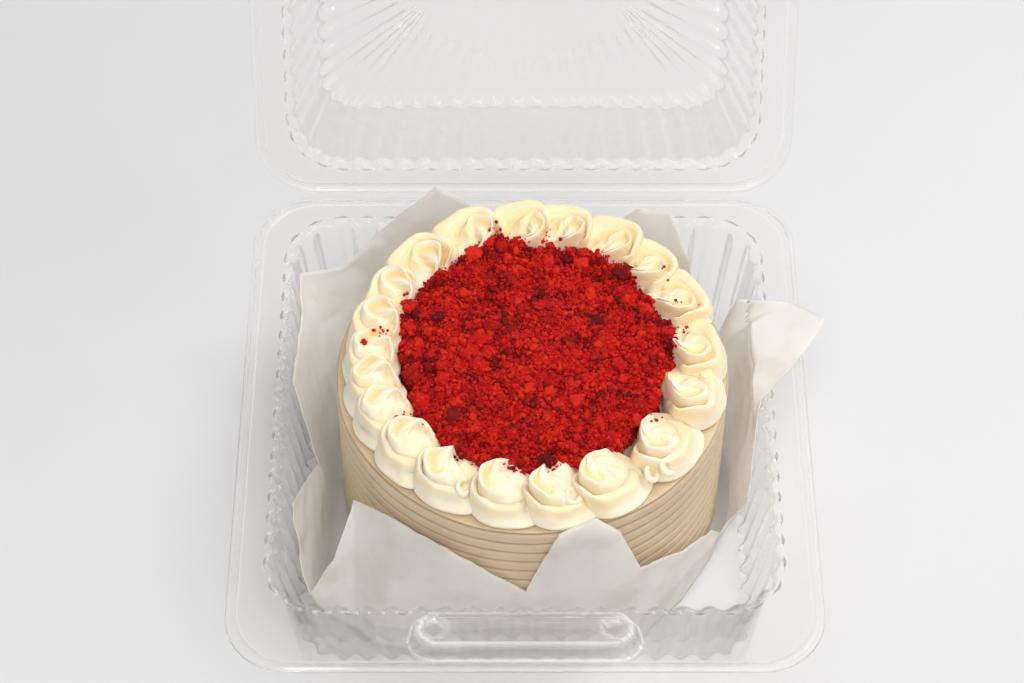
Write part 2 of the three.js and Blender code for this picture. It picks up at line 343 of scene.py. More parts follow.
class Effects:
    """Shader node groups that more than one finish uses, each built once."""

    @staticmethod
    @cache
    def mottle() -> bpy.types.NodeTree:
        """Patches of two colours that melt into one another."""
        tree = Tree.group(
            "mottle",
            "ShaderNodeTree",
            [
                ("Vector", "NodeSocketVector"),
                ("Size", "NodeSocketFloat", 0.01),
                ("Base", "NodeSocketColor"),
                ("Patch", "NodeSocketColor"),
                ("Spread", "NodeSocketFloat", 0.5),
            ],
            [("Color", "NodeSocketColor")],
        )
        source = tree.start.outputs
        scale = tree.math("DIVIDE", 1.0, source["Size"])
        texture = tree.add(
            "ShaderNodeTexNoise",
            {"Vector": source["Vector"], "Scale": scale, "Detail": 4.0, "Roughness": 0.55},
        )
        low = tree.math("SUBTRACT", 1.0, source["Spread"])
        first, full = tree.math("MULTIPLY", low, 0.9), tree.math("ADD", low, 0.15)
        mask = tree.ramp(texture.outputs["Fac"], first, full)
        tree.link(tree.mix(mask, source["Base"], source["Patch"]), tree.end.inputs["Color"])
        return tree.tree

    @staticmethod
    @cache
    def grain() -> bpy.types.NodeTree:
        """Fine relief as a bumped normal, from noise of one size with finer noise on it."""
        tree = Tree.group(
            "grain",
            "ShaderNodeTree",
            [
                ("Vector", "NodeSocketVector"),
                ("Size", "NodeSocketFloat", 0.001),
                ("Depth", "NodeSocketFloat", 0.0001),
                ("Strength", "NodeSocketFloat", 1.0),
            ],
            [("Height", "NodeSocketFloat"), ("Normal", "NodeSocketVector")],
        )
        source = tree.start.outputs
        scale = tree.math("DIVIDE", 1.0, source["Size"])
        texture = tree.add(
            "ShaderNodeTexNoise",
            {"Vector": source["Vector"], "Scale": scale, "Detail": 3.0, "Roughness": 0.6},
        )
        relief = texture.outputs["Fac"]
        bump = tree.add(
            "ShaderNodeBump",
            {"Height": relief, "Distance": source["Depth"], "Strength": source["Strength"]},
        )
        tree.link(relief, tree.end.inputs["Height"])
        tree.link(bump.outputs["Normal"], tree.end.inputs["Normal"])
        return tree.tree


class Finish:
    """A material being filled."""

    def __init__(self, name: str) -> None:
        """Makes an empty material with an output.

        Args:
            name: Name of the material.
        """
        self.material = bpy.data.materials.new(name)
        self.material.use_nodes = True
        self.material.node_tree.nodes.clear()
        self.tree = Tree(self.material.node_tree)
        self.output = self.tree.add("ShaderNodeOutputMaterial")
        self.place = self.tree.add("ShaderNodeTexCoord").outputs["Object"]

    def effect(self, group: bpy.types.NodeTree, **values: object) -> bpy.types.Node:
        """Places a shared effect with its own values."""
        node = self.tree.add("ShaderNodeGroup", node_tree=group)
        self.tree.link(self.place, node.inputs["Vector"])
        for name, value in values.items():
            self.tree.feed(node.inputs[name], value)
        return node

    def read(self, name: str) -> bpy.types.NodeSocket:
        """The mesh's own numbers of that name."""
        return self.tree.add("ShaderNodeAttribute", attribute_name=name).outputs["Fac"]

    def surface(self, shader: bpy.types.Node) -> bpy.types.Material:
        """Connects the shader that the surface shows."""
        self.tree.link(shader.outputs[0], self.output.inputs["Surface"])
        return self.material


@dataclass(frozen=True)
class ClearPlastic:
    """Thin clear sheet, drawn warm in a mould, so that it bends light only in part.

    open_share of it lets light straight through, and edge_share more where it is seen edge-on, over
    the range edge_on of the Facing value. Sharp bends get a share of matt white mixed in, a painted
    highlight along the sharpest bends.
    """

    tint: Colour = (0.985, 0.975, 0.965, 1)
    through: Colour = (0.997, 0.994, 0.99, 1)
    open_share: float = 0.48
    edge_share: float = 0.5
    edge_on: tuple[float, float] = (0.35, 0.85)
    roughness: float = 0.04
    ior: float = 1.28
    # painted highlight: the white laid on sharp bends
    white: Colour = (0.95, 0.94, 0.93, 1)
    painted_glint_share: float = 0.36
    painted_glint_roughness: float = 0.3
    waviness: float = 14 * MM
    wave_depth: float = 0.25 * MM
    wave_strength: float = 0.5

    def material(self) -> bpy.types.Material:
        """Glass for the eye, open to lamps and to light between surfaces, more open seen edge-on, and
        painted white on sharp bends as a highlight.
        """
        finish = Finish("clear_plastic")
        tree = finish.tree
        waves = finish.effect(
            Effects.grain(), Size=self.waviness, Depth=self.wave_depth, Strength=self.wave_strength
        )
        glass = tree.add(
            "ShaderNodeBsdfPrincipled",
            {
                "Base Color": self.tint,
                "Roughness": self.roughness,
                "IOR": self.ior,
                "Transmission Weight": 1.0,
                "Normal": waves.outputs["Normal"],
            },
        )
        clear = tree.add("ShaderNodeBsdfTransparent", {"Color": self.through})
        rays = tree.add("ShaderNodeLightPath")
        unseen = tree.math("MAXIMUM", rays.outputs["Is Shadow Ray"], rays.outputs["Is Diffuse Ray"])
        facing = tree.add("ShaderNodeLayerWeight", {"Blend": 0.5}).outputs["Facing"]
        steep = tree.math("MULTIPLY", tree.ramp(facing, *self.edge_on), self.edge_share)
        opened = tree.math("ADD", steep, self.open_share)
        sheet = tree.blend(tree.math("MAXIMUM", unseen, opened), glass, clear)
        bright = tree.add(
            "ShaderNodeBsdfPrincipled", {"Base Color": self.white, "Roughness": self.painted_glint_roughness}
        )
        # painted highlight: the mesh's bend mask mixes in a matt white
        bent = tree.math("MULTIPLY", finish.read("bend"), self.painted_glint_share)
        return finish.surface(tree.blend(bent, sheet, bright))


@dataclass(frozen=True)
class Parchment:
    """White baking paper that lets some light through."""

    colour: Colour = rgba(254, 253, 250)
    shade: Colour = rgba(248, 245, 240)
    patches: float = 22 * MM
    see_through: float = 0.5
    roughness: float = 0.62
    fibre: float = 0.9 * MM
    fibre_depth: float = 0.06 * MM

    def material(self) -> bpy.types.Material:
        """Matt paper, partly lit from behind."""
        finish = Finish("parchment")
        colour = finish.effect(
            Effects.mottle(), Size=self.patches, Base=self.colour, Patch=self.shade
        ).outputs["Color"]
        fibres = finish.effect(Effects.grain(), Size=self.fibre, Depth=self.fibre_depth, Strength=0.6)
        face = finish.tree.add(
            "ShaderNodeBsdfPrincipled",
            {
                "Base Color": colour,
                "Roughness": self.roughness,
                "Specular IOR Level": 0.35,
                "Normal": fibres.outputs["Normal"],
            },
        )
        back = finish.tree.add("ShaderNodeBsdfTranslucent", {"Color": colour})
        return finish.surface(finish.tree.blend(self.see_through, face, back))


@dataclass(frozen=True)
class Buttercream:
    """Whipped frosting, with painted shade in its hollows, folds and grooves."""

    name: str = "buttercream"
    crest: Colour = rgba(251, 236, 210)
    # painted shade: the colour of hollows, folds and grooves
    hollow: Colour = rgba(248, 216, 156)
    patch: Colour = rgba(247, 232, 200)
    patches: float = 16 * MM
    pit: float = 2.2 * MM
    pit_depth: float = 0.12 * MM
    roughness: tuple[float, float] = (0.42, 0.6)
    softness: float = 0.35
    depth: float = 4 * MM

    def material(self) -> bpy.types.Material:
        """Soft creamy surface with small air pits, and painted shade where the mesh's hollow value is high.
        """
        finish = Finish(self.name)
        skin = finish.effect(
            Effects.mottle(), Size=self.patches, Base=self.crest, Patch=self.patch
        ).outputs["Color"]
        # painted shade: the mesh's hollow value mixes in the hollow colour
        colour = finish.tree.mix(finish.read("hollow"), skin, self.hollow)
        pits = finish.effect(Effects.grain(), Size=self.pit, Depth=self.pit_depth, Strength=0.5)
        low, high = self.roughness
        fine = finish.tree.add(
            "ShaderNodeMapRange", {0: pits.outputs["Height"], 1: 0.3, 2: 0.7, 3: low, 4: high}
        )
        shader = finish.tree.add(
            "ShaderNodeBsdfPrincipled",
            {
                "Base Color": colour,
                "Roughness": fine.outputs[0],
                "Specular IOR Level": 0.4,
                "Subsurface Weight": self.softness,
                "Subsurface Radius": (1.0, 0.62, 0.3),
                "Subsurface Scale": self.depth,
                "Normal": pits.outputs["Normal"],
            },
        )
        return finish.surface(shader)


@dataclass(frozen=True)
class VelvetCrumb:
    """Moist red cake crumb, each piece of its own tone."""

    dark: Colour = rgba(102, 6, 9)
    main: Colour = rgba(200, 13, 13)
    light: Colour = rgba(236, 52, 26)
    speckle: float = 1.1 * MM
    pore: float = 0.6 * MM
    pore_depth: float = 0.8 * MM

    def material(self) -> bpy.types.Material:
        """Crumb whose tone picks its colour: painted maroon shade in the core's hollows and painted light
        on its tops, random tones on the loose crumbs, and a few wet glints.
        """
        finish = Finish("velvet_crumb")
        tree = finish.tree
        tone = finish.read("tone")
        speckle = finish.effect(
            Effects.mottle(), Size=self.speckle, Base=self.main, Patch=self.light, Spread=0.46
        )
        # painted shade and light: low tone mixes in the dark maroon and high tone the lighter red; on the
        # core the tone follows its relief, elsewhere it is random
        colour = tree.mix(tree.ramp(tone, 0.62, 0.0), speckle.outputs["Color"], self.dark)
        colour = tree.mix(tree.math("MULTIPLY", tree.ramp(tone, 0.7, 1.0), 0.55), colour, self.light)
        pores = finish.effect(Effects.grain(), Size=self.pore, Depth=self.pore_depth)
        wet = tree.add(
            "ShaderNodeMapRange", {0: pores.outputs["Height"], 1: 0.64, 2: 0.74, 3: 0.85, 4: 0.3}
        )
        shader = tree.add(
            "ShaderNodeBsdfPrincipled",
            {
                "Base Color": colour,
                "Roughness": wet.outputs[0],
                "Specular IOR Level": 0.22,
                "Subsurface Weight": 0.2,
                "Subsurface Radius": (1.0, 0.1, 0.05),
                "Subsurface Scale": 1.5 * MM,
                "Normal": pores.outputs["Normal"],
            },
        )
        return finish.surface(shader)


@dataclass(frozen=True)
class StudioFloor:
    """Pale matt table."""

    colour: Colour = rgba(223, 223, 225)
    patch: Colour = rgba(219, 219, 221)
    patches: float = 350 * MM

    def material(self) -> bpy.types.Material:
        """Almost even pale grey."""
        finish = Finish("studio_floor")
        colour = finish.effect(
            Effects.mottle(), Size=self.patches, Base=self.colour, Patch=self.patch
        ).outputs["Color"]
        shader = finish.tree.add(
            "ShaderNodeBsdfPrincipled", {"Base Color": colour, "Roughness": 0.75, "Specular IOR Level": 0.2}
        )
        return finish.surface(shader)


# Clear box


@dataclass(frozen=True)
class RoundedSquare:
    """A square with round corners, seen from above."""

    half: float
    front: float
    back: float
    radius: float

    def ring(self, inset: float, side: int, corner: int) -> tuple[np.ndarray, np.ndarray]:
        """Points and outward directions along the outline, anticlockwise from the right side's front.

        Args:
            inset: How far the ring lies inside the outline.
            side: Points along each straight side.
            corner: Points round each corner.

        Returns:
            The points and the outward directions, as rows of x and y.
        """
        bend = max(self.radius - inset / 2, MM)
        right, left = self.half - inset - bend, -self.half + inset + bend
        low, high = self.front + inset + bend, self.back - inset - bend
        centres = np.array([(right, low), (right, high), (left, high), (left, low)])
        points, ways = [], []
        k = np.arange(side + corner)
        for turn in range(4):
            along = np.minimum(k / side, 1)[:, None]
            angle = turn * TURN / 4 + np.maximum(k - side, 0) / corner * TURN / 4
            way = np.stack([np.cos(angle), np.sin(angle)], axis=-1)
            points.append(centres[turn] * (1 - along) + centres[(turn + 1) % 4] * along + bend * way)
            ways.append(way)
        return np.concatenate(points), np.concatenate(ways)


FLANGE = RoundedSquare(114.5 * MM, -127.4 * MM, 109 * MM, 25 * MM)
OPENING = RoundedSquare(98 * MM, -98.5 * MM, 95.5 * MM, 22 * MM)


@dataclass(frozen=True)
class Level:
    """One line round a moulded sheet.

    inset is how far it lies inside the opening's outline, and out is its share of the way from there
    to a line that lies edge inside the flange's outline. flute is the depth from crest to hollow, and
    upright is 1 where flutes press sideways and 0 where they press downwards. roundness is 1 where
    the line is a circle.
    """

    inset: float
    z: float
    flute: float = 0.0
    upright: float = 1.0
    out: float = 0.0
    edge: float = 4 * MM
    roundness: float = 0.0

    def ring(self, side: int, corner: int) -> tuple[np.ndarray, np.ndarray]:
        """Points and outward directions along the line, as rows of x and y."""
        points, ways = OPENING.ring(self.inset, side, corner)
        if self.roundness:
            middle = np.array([0.0, (OPENING.front + OPENING.back) / 2])
            away = points - middle
            circle = away / np.linalg.norm(away, axis=1)[:, None] * (OPENING.half - self.inset)
            points = points + (middle + circle - points) * self.roundness
        if self.out:
            points = points + (FLANGE.ring(self.edge, side, corner)[0] - points) * self.out
        return points, ways


def level_between(first: Level, second: Level, share: float) -> Level:
    """A level part of the way from one to another."""
    names = ("inset", "z", "flute", "upright", "out", "edge", "roundness")
    return Level(*(getattr(first, n) + (getattr(second, n) - getattr(first, n)) * share for n in names))


def straight(first: Level, second: Level, steps: int) -> list[Level]:
    """Evenly spaced levels from one to another, without the first."""
    return [level_between(first, second, k / steps) for k in range(1, steps + 1)]


def bend(before: Level, corner: Level, after: Level, radius: float, steps: int = 5) -> list[Level]:
    """A short curve in place of a corner of the profile.

    Args:
        before: The level on one side of the corner.
        corner: The corner itself.
        after: The level on the other side.
        radius: How far from the corner the curve starts and ends.
        steps: Steps along the curve.

    Returns:
        The levels of the curve.
    """

    def toward(other: Level) -> Level:
        run = math.hypot(other.inset - corner.inset, other.z - corner.z)
        return level_between(corner, other, min(radius / run, 0.5))

    start, end = toward(before), toward(after)
    shares = [k / steps for k in range(steps + 1)]
    return [
        level_between(level_between(start, corner, t), level_between(corner, end, t), t) for t in shares
    ]


@dataclass(frozen=True)
class Flange:
    """The flat band round the opening, with a raised bead near its edge.

    The flutes are gone at the distance plain outside the wall, and the bend beside the wall fades
    towards the distance run. profile holds how far each line across the bead lies from the edge, in
    millimetres, and its share of the bead's height.
    """

    plain: float = 3 * MM
    run: float = 12 * MM
    bead: float = 0.8 * MM
    bead_foot: float = 4.4 * MM
    steps: int = 22
    profile: tuple[tuple[float, float], ...] = (
        (3.9, 0.5), (3.4, 0.9), (2.8, 1.0), (2.2, 0.9), (1.7, 0.5), (1.2, 0.0), (0.0, 0.0),
    )  # fmt: skip

    def levels(self, first: Level) -> list[Level]:
        """The levels across the flange, after the first."""
        flat = straight(first, Level(first.inset, first.z, out=1.0, edge=self.bead_foot), self.steps)
        return flat + [
            Level(first.inset, first.z + self.bead * rise, out=1.0, edge=edge * MM)
            for edge, rise in self.profile
        ]


def flute_tree() -> bpy.types.NodeTree:
    """Geometry Nodes that press a moulded sheet into flutes and give it its material."""
    tree = Tree.group(
        "flutes",
        "GeometryNodeTree",
        [
            ("Geometry", "NodeSocketGeometry"),
            ("Depth", "NodeSocketFloat", 1.0),
            ("Material", "NodeSocketMaterial"),
        ],
        [("Geometry", "NodeSocketGeometry")],
    )
    phase = tree.add("GeometryNodeInputNamedAttribute", {"Name": "flute_phase"}, data_type="FLOAT")
    way = tree.add("GeometryNodeInputNamedAttribute", {"Name": "flute_way"}, data_type="FLOAT_VECTOR")
    wave = tree.math("MULTIPLY", tree.math("COSINE", phase.outputs[0]), tree.start.outputs["Depth"])
    push = tree.add("ShaderNodeVectorMath", {0: way.outputs[0], "Scale": wave}, operation="SCALE")
    pressed = tree.add(
        "GeometryNodeSetPosition", {"Geometry": tree.start.outputs["Geometry"], "Offset": push.outputs[0]}
    )
    tree.dress(pressed.outputs[0], tree.start.outputs["Material"])
    return tree.tree


def bends(obj: bpy.types.Object, low: float, high: float) -> np.ndarray:
    """How sharply a mesh bends at each point: 0 up to the curvature low, 1 from high, in 1/m."""
    mesh = bmesh.new()
    mesh.from_mesh(obj.data)
    turn, run = np.zeros(len(mesh.verts)), np.full(len(mesh.verts), 1e-9)
    for edge in mesh.edges:
        angle, length = edge.calc_face_angle(0.0), edge.calc_length()
        for vertex in edge.verts:
            turn[vertex.index] += angle
            run[vertex.index] += length
    mesh.free()
    return smoothstep((turn / run - low) / (high - low))


@dataclass
class MouldedSheet:
    """A thin sheet drawn through levels from its centre outwards, with flutes pressed into it.

    bent is the range of curvature, in 1/m, over which a bend is marked for a painted white highlight.
    """

    levels: list[Level]
    centre: tuple[float, float, float]
    side_flutes: int
    corner_flutes: int
    faces_down: bool
    samples: int = 8
    thickness: float = 0.5 * MM
    bent: tuple[float, float] = (170.0, 460.0)

    def surface(self, name: str, relief: Callable[[np.ndarray], np.ndarray]) -> bpy.types.Object:
        """The sheet's outer face as one open surface.

        Args:
            name: Name of the object.
            relief: Gives how far each point is raised.

        Returns:
            The object, with the flutes' phase and direction stored on its points.
        """
        side, corner = self.side_flutes * self.samples, self.corner_flutes * self.samples
        count = 4 * (side + corner)
        rows, ways = [], []
        for level in self.levels:
            flat, outward = level.ring(side, corner)
            rows.append(np.column_stack([flat, np.full(count, level.z)]))
            lean = np.column_stack([outward * level.upright, np.full(count, 1 - level.upright)])
            ways.append(lean * level.flute / 2)
        points = np.concatenate([[self.centre], *rows])
        points[:, 2] += relief(points)
        phase = np.concatenate([[0.0], np.tile(np.arange(count) / self.samples * TURN, len(rows))])
        faces = fan_faces(np.arange(1, count + 1), 0, flip=self.faces_down).tolist()
        grid = grid_faces(len(rows), count, 1)
        faces += (grid if self.faces_down else grid[:, ::-1]).tolist()
        obj = new_mesh(name, points, faces)
        add_values(obj, "flute_phase", phase)
        add_values(obj, "flute_way", np.concatenate([np.zeros((1, 3)), *ways]))
        return obj

    def build(
        self,
        name: str,
        tree: bpy.types.NodeTree,
        material: bpy.types.Material,
        relief: Callable[[np.ndarray], np.ndarray],
    ) -> bpy.types.Object:
        """The finished sheet with its two faces.

        Args:
            name: Name of the object.
            tree: The flutes' node tree.
            material: The clear plastic.
            relief: Gives how far each point is raised.

        Returns:
            The plain mesh object.
        """
        obj = grown(self.surface(name, relief), tree, Depth=1.0, Material=material)
        # painted highlight: this bend mask tells the plastic where to paint white
        add_values(obj, "bend", bends(obj, *self.bent))
        return walled(obj, self.thickness, -1)


@dataclass(frozen=True)
class LatchBar:
    """The low bar with round ends on the front flange."""

    y: float = -112.5 * MM
    half_length: float = 41 * MM
    top_half: float = 6.6 * MM
    foot_half: float = 9.4 * MM
    height: float = 8 * MM
    button: float = 5.2 * MM
    button_slope: float = 1.6 * MM
    button_depth: float = 1.6 * MM

    def raised(self, points: np.ndarray, margin: float = 0.0) -> np.ndarray:
        """How far the bar lifts the flange at each point.

        Args:
            points: Places as rows of x, y, z.
            margin: How much wider and higher the bar is, for the one that nests over it.

        Returns:
            One height for each place.
        """
        reach = self.half_length - self.top_half
        beyond = np.maximum(np.abs(points[:, 0]) - reach, 0)
        away = np.hypot(beyond, points[:, 1] - self.y) - margin
        slope = smoothstep((self.foot_half - away) / (self.foot_half - self.top_half))
        from_button = np.hypot(np.abs(points[:, 0]) - reach, points[:, 1] - self.y)
        dimple = smoothstep((self.button - from_button) / self.button_slope)
        return (self.height + margin) * slope - self.button_depth * dimple


@dataclass
class Tray:
    """The lower half of the box: floor, fluted wall, flange and latch bar.

    under is the height of the flange's underside. band holds inset and height, in millimetres, of the
    lines across the floor and its raised band.
    """

    under: float = 51.2 * MM
    foot_inset: float = 7.8 * MM
    brim_inset: float = 0.5 * MM
    foot_radius: float = 3.4 * MM
    brim_radius: float = 3.2 * MM
    flute: float = 3 * MM
    brim_flute: float = 0.7
    wall_steps: int = 14
    side_flutes: int = 15
    corner_flutes: int = 3
    band: tuple[tuple[float, float], ...] = ((60, 0), (27, 0), (25.5, 0.5), (15.5, 0.5), (14, 0))
    flange: Flange = Flange()
    latch: LatchBar = LatchBar()

    def profile(self) -> list[Level]:
        """Levels of the tray's underside, from the floor and its raised band out to the flange's edge."""
        floor = [Level(inset * MM, z * MM) for inset, z in self.band]
        foot = Level(self.foot_inset, 0.0, self.flute)
        brim = Level(self.brim_inset, self.under, self.flute * self.brim_flute)
        low = bend(floor[-1], foot, brim, self.foot_radius)
        beyond = Level(self.brim_inset - self.flange.run, self.under)
        high = bend(foot, brim, beyond, self.brim_radius)
        levels = floor + low + straight(low[-1], high[0], self.wall_steps) + high[1:]
        levels.append(Level(self.brim_inset - self.flange.plain, self.under))
        return levels + self.flange.levels(levels[-1])

    def build(self, tree: bpy.types.NodeTree, material: bpy.types.Material) -> bpy.types.Object:
        """Makes the tray.

        Args:
            tree: The flutes' node tree.
            material: The clear plastic.

        Returns:
            The tray, riding on the box.
        """
        sheet = MouldedSheet(
            self.profile(), (0, 0, 0), self.side_flutes, self.corner_flutes, faces_down=True
        )
        obj = sheet.build("clear_tray", tree, material, self.latch.raised)
        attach(obj, Body.BOX.value)
        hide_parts("tray")
        return obj


@dataclass
class Lid:
    """The upper half of the box, turned back on its hinge.

    top and low are the heights of the closed lid's panel and flange. The panel is plain within
    plain_circle, from where the ribs rise over the distance rib_rise.
    """

    top: float = 100.3 * MM
    low: float = 52.8 * MM
    panel_inset: float = 9.4 * MM
    foot_inset: float = 0.6 * MM
    panel_radius: float = 5 * MM
    foot_radius: float = 3.2 * MM
    flute: float = 2.2 * MM
    panel_flute: float = 0.8
    foot_flute: float = 0.7
    rib: float = 1.8 * MM
    rib_rise: float = 6 * MM
    plain_circle: float = 62 * MM
    side_flutes: int = 16
    corner_flutes: int = 4
    nests_over: float = 1 * MM
    hinge: tuple[float, float, float] = (0, 110 * MM, 52 * MM)
    open_angle: float = 115.0
    flange: Flange = Flange()
    latch: LatchBar = LatchBar()

    def profile(self) -> list[Level]:
        """Levels of the closed lid's upper face, from the panel's circle out to the flange's edge."""
        hub = Level(OPENING.half - self.plain_circle, self.top, 0.0, 0.0, roundness=1.0)
        ribs = Level(hub.inset - self.rib_rise, self.top, self.rib, 0.0, roundness=0.85)
        corner = Level(self.panel_inset, self.top, self.panel_flute * self.flute, 0.5)
        foot = Level(self.foot_inset, self.low, self.foot_flute * self.flute)
        wall = Level(self.foot_inset, self.low, self.flute)
        shoulder = bend(ribs, corner, wall, self.panel_radius)
        beyond = Level(self.foot_inset - self.flange.run, self.low)
        ankle = bend(corner, foot, beyond, self.foot_radius)
        levels = [hub] + straight(hub, ribs, 5) + straight(ribs, shoulder[0], 12) + shoulder[1:]
        levels += straight(shoulder[-1], ankle[0], 12) + ankle[1:]
        levels.append(Level(self.foot_inset - self.flange.plain, self.low))
        return levels + self.flange.levels(levels[-1])

    def build(self, tree: bpy.types.NodeTree, material: bpy.types.Material) -> bpy.types.Object:
        """Makes the lid in its closed place and turns it back.

        Args:
            tree: The flutes' node tree.
            material: The clear plastic.

        Returns:
            The lid, riding on its own body.
        """
        centre = (0, (OPENING.front + OPENING.back) / 2, self.top)
        sheet = MouldedSheet(
            self.profile(), centre, self.side_flutes, self.corner_flutes, faces_down=False
        )
        obj = sheet.build(
            "clear_lid", tree, material, lambda points: self.latch.raised(points, self.nests_over)
        )
        hinge = Matrix.Translation(self.hinge)
        obj.data.transform(
            hinge @ Matrix.Rotation(math.radians(-self.open_angle), 4, "X") @ hinge.inverted()
        )
        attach(obj, Body.LID.value)
        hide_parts("lid")
        return obj


# Cake


@dataclass(frozen=True)
class CakeAxis:
    """The cake's upright axis, and places by azimuth and distance from it."""

    x: float = 3 * MM
    y: float = -6.7 * MM
    top: float = 80 * MM

    def places(self, azimuth: np.ndarray, radius: np.ndarray, z: np.ndarray) -> np.ndarray:
        """Rows of x, y, z for azimuths in radians."""
        return np.stack(
            [self.x + radius * np.cos(azimuth), self.y + radius * np.sin(azimuth), z + 0 * azimuth], axis=-1
        )


AXIS = CakeAxis()


@dataclass
class CakeBody:
    """The frosted side, drawn round with a toothed comb.

    heel holds how far in and up the lines of the rounded foot lie, and their share of the comb's marks.
    Shares of the pitch say how wide a groove is from its middle, and where the grooves end at the top.
    """

    radius: float = 77.6 * MM
    bottom: float = 1.8 * MM
    pitch: float = 6.2 * MM
    top_groove: float = 79 * MM
    groove: float = 1.8 * MM
    groove_width: tuple[float, float] = (0.02, 0.15)
    groove_round: float = 0.7
    fades: tuple[float, float] = (-0.6, -0.1)
    waver: float = 0.5 * MM
    waver_scale: float = 22.0
    drift: float = 4.0
    upwards: float = 0.15
    seed: float = 3.0
    heel: tuple[tuple[float, float, float], ...] = ((3 * MM, 0.0, 0.0), (0.8 * MM, 1 * MM, 0.6))
    heel_height: float = 2 * MM
    rim: float = 1.5 * MM
    rim_steps: int = 6
    across: int = 300
    step: float = 0.55 * MM

    def tree(self) -> bpy.types.NodeTree:
        """Geometry Nodes that comb bands into the plain side and mark the grooves for painted shade."""
        tree = Tree.group(
            "combed_side",
            "GeometryNodeTree",
            [
                ("Geometry", "NodeSocketGeometry"),
                ("Pitch", "NodeSocketFloat"),
                ("Groove Depth", "NodeSocketFloat"),
                ("Top Groove", "NodeSocketFloat"),
                ("Waver", "NodeSocketFloat"),
                ("Seed", "NodeSocketFloat"),
                ("Material", "NodeSocketMaterial"),
            ],
            [("Geometry", "NodeSocketGeometry")],
        )
        source = tree.start.outputs
        place = tree.add("GeometryNodeInputPosition")
        parts = tree.add("ShaderNodeSeparateXYZ", {0: place.outputs[0]})
        drift = tree.add(
            "ShaderNodeTexNoise",
            {
                "Vector": place.outputs[0],
                "W": source["Seed"],
                "Scale": self.waver_scale,
                "Detail": 2.0,
            },
            noise_dimensions="4D",
        )
        waver = tree.math("MULTIPLY", tree.math("SUBTRACT", drift.outputs["Fac"], 0.5), source["Waver"])
        height = tree.math("ADD", parts.outputs["Z"], tree.math("MULTIPLY", waver, self.drift))
        below = tree.math("SUBTRACT", source["Top Groove"], height)
        phase = tree.math("FRACT", tree.math("ADD", tree.math("DIVIDE", below, source["Pitch"]), 0.5))
        from_groove = tree.math("ABSOLUTE", tree.math("SUBTRACT", phase, 0.5))
        band = tree.math("POWER", tree.ramp(from_groove, *self.groove_width), self.groove_round)
        on_side = tree.ramp(below, *(share * self.pitch for share in self.fades))
        cut = tree.math("MULTIPLY", tree.math("SUBTRACT", 1.0, band), on_side)
        marked = tree.add("GeometryNodeInputNamedAttribute", {"Name": "side"}, data_type="FLOAT")
        marks = tree.math("MULTIPLY", cut, marked.outputs[0])
        amount = tree.math("MULTIPLY", marks, source["Groove Depth"])
        uneven = tree.math("MULTIPLY", waver, marked.outputs[0])
        normal = tree.add("GeometryNodeInputNormal")
        push = tree.add(
            "ShaderNodeVectorMath",
            {0: normal.outputs[0], "Scale": tree.math("SUBTRACT", uneven, amount)},
            operation="SCALE",
        )
        flat = tree.add(
            "ShaderNodeVectorMath", {0: push.outputs[0], 1: (1.0, 1.0, self.upwards)}, operation="MULTIPLY"
        )
        combed = tree.add(
            "GeometryNodeSetPosition", {"Geometry": source["Geometry"], "Offset": flat.outputs[0]}
        )
        # painted shade: the groove mask is kept as the hollow value, which darkens the grooves
        kept = tree.add(
            "GeometryNodeStoreNamedAttribute",
            {"Geometry": combed.outputs[0], "Name": "hollow", "Value": cut},
            data_type="FLOAT",
            domain="POINT",
        )
        tree.dress(kept.outputs[0], source["Material"])
        return tree.tree

    def profile(self) -> list[tuple[float, float, float]]:
        """Radius, height and share of the comb's marks, from the foot up to the round rim."""
        profile = [(self.radius - inset, self.bottom + rise, mark) for inset, rise, mark in self.heel]
        z = self.bottom + self.heel_height
        while z < AXIS.top - self.rim:
            profile.append((self.radius, z, 1.0))
            z += self.step
        for k in range(self.rim_steps + 1):
            angle = k / self.rim_steps * TURN / 4
            radius = self.radius - self.rim + self.rim * math.cos(angle)
            z = AXIS.top - self.rim + self.rim * math.sin(angle)
            profile.append((radius, z, 1.0 - k / self.rim_steps))
        return profile

    def build(self, material: bpy.types.Material) -> bpy.types.Object:
        """Makes the cake's body.

        Args:
            material: The frosting.

        Returns:
            The cake, riding on the box.
        """
        profile = self.profile()
        azimuth = np.arange(self.across) / self.across * TURN
        rows = [AXIS.places(azimuth, np.full(self.across, r), np.float64(z)) for r, z, _ in profile]
        side = np.repeat([mark for _, _, mark in profile], self.across)
        ends = AXIS.places(np.zeros(2), np.zeros(2), np.array([self.bottom, AXIS.top]))
        points = np.concatenate([*rows, ends])
        faces = grid_faces(len(rows), self.across).tolist()
        first, last = np.arange(self.across), np.arange(self.across) + self.across * (len(rows) - 1)
        faces += fan_faces(first, len(points) - 2, flip=True).tolist()
        faces += fan_faces(last, len(points) - 1).tolist()
        obj = new_mesh("combed_cake", points, faces)
        add_values(obj, "side", np.concatenate([side, [0.0, 0.0]]))
        obj = grown(
            obj,
            self.tree(),
            Pitch=self.pitch,
            Groove_Depth=self.groove,
            Top_Groove=self.top_groove,
            Waver=self.waver,
            Seed=self.seed,
            Material=material,
        )
        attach(obj, Body.BOX.value)
        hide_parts("cake")
        return obj


def around(theta: np.ndarray, keys: dict[float, float]) -> np.ndarray:
    """A value that changes smoothly with direction.

    Args:
        theta: Directions in radians.
        keys: Known values by direction in degrees, rising from -180 to less than 180.

    Returns:
        One value for each direction.
    """
    known = list(keys.items())
    degrees = (np.degrees(theta) - known[0][0]) % 360 + known[0][0]
    known.append((known[0][0] + 360, known[0][1]))
    result = np.zeros_like(theta)
    for (low, first), (high, second) in zip(known, known[1:]):
        inside = (degrees >= low) & (degrees <= high)
        result[inside] = first + (second - first) * smoothstep((degrees[inside] - low) / (high - low))
    return result


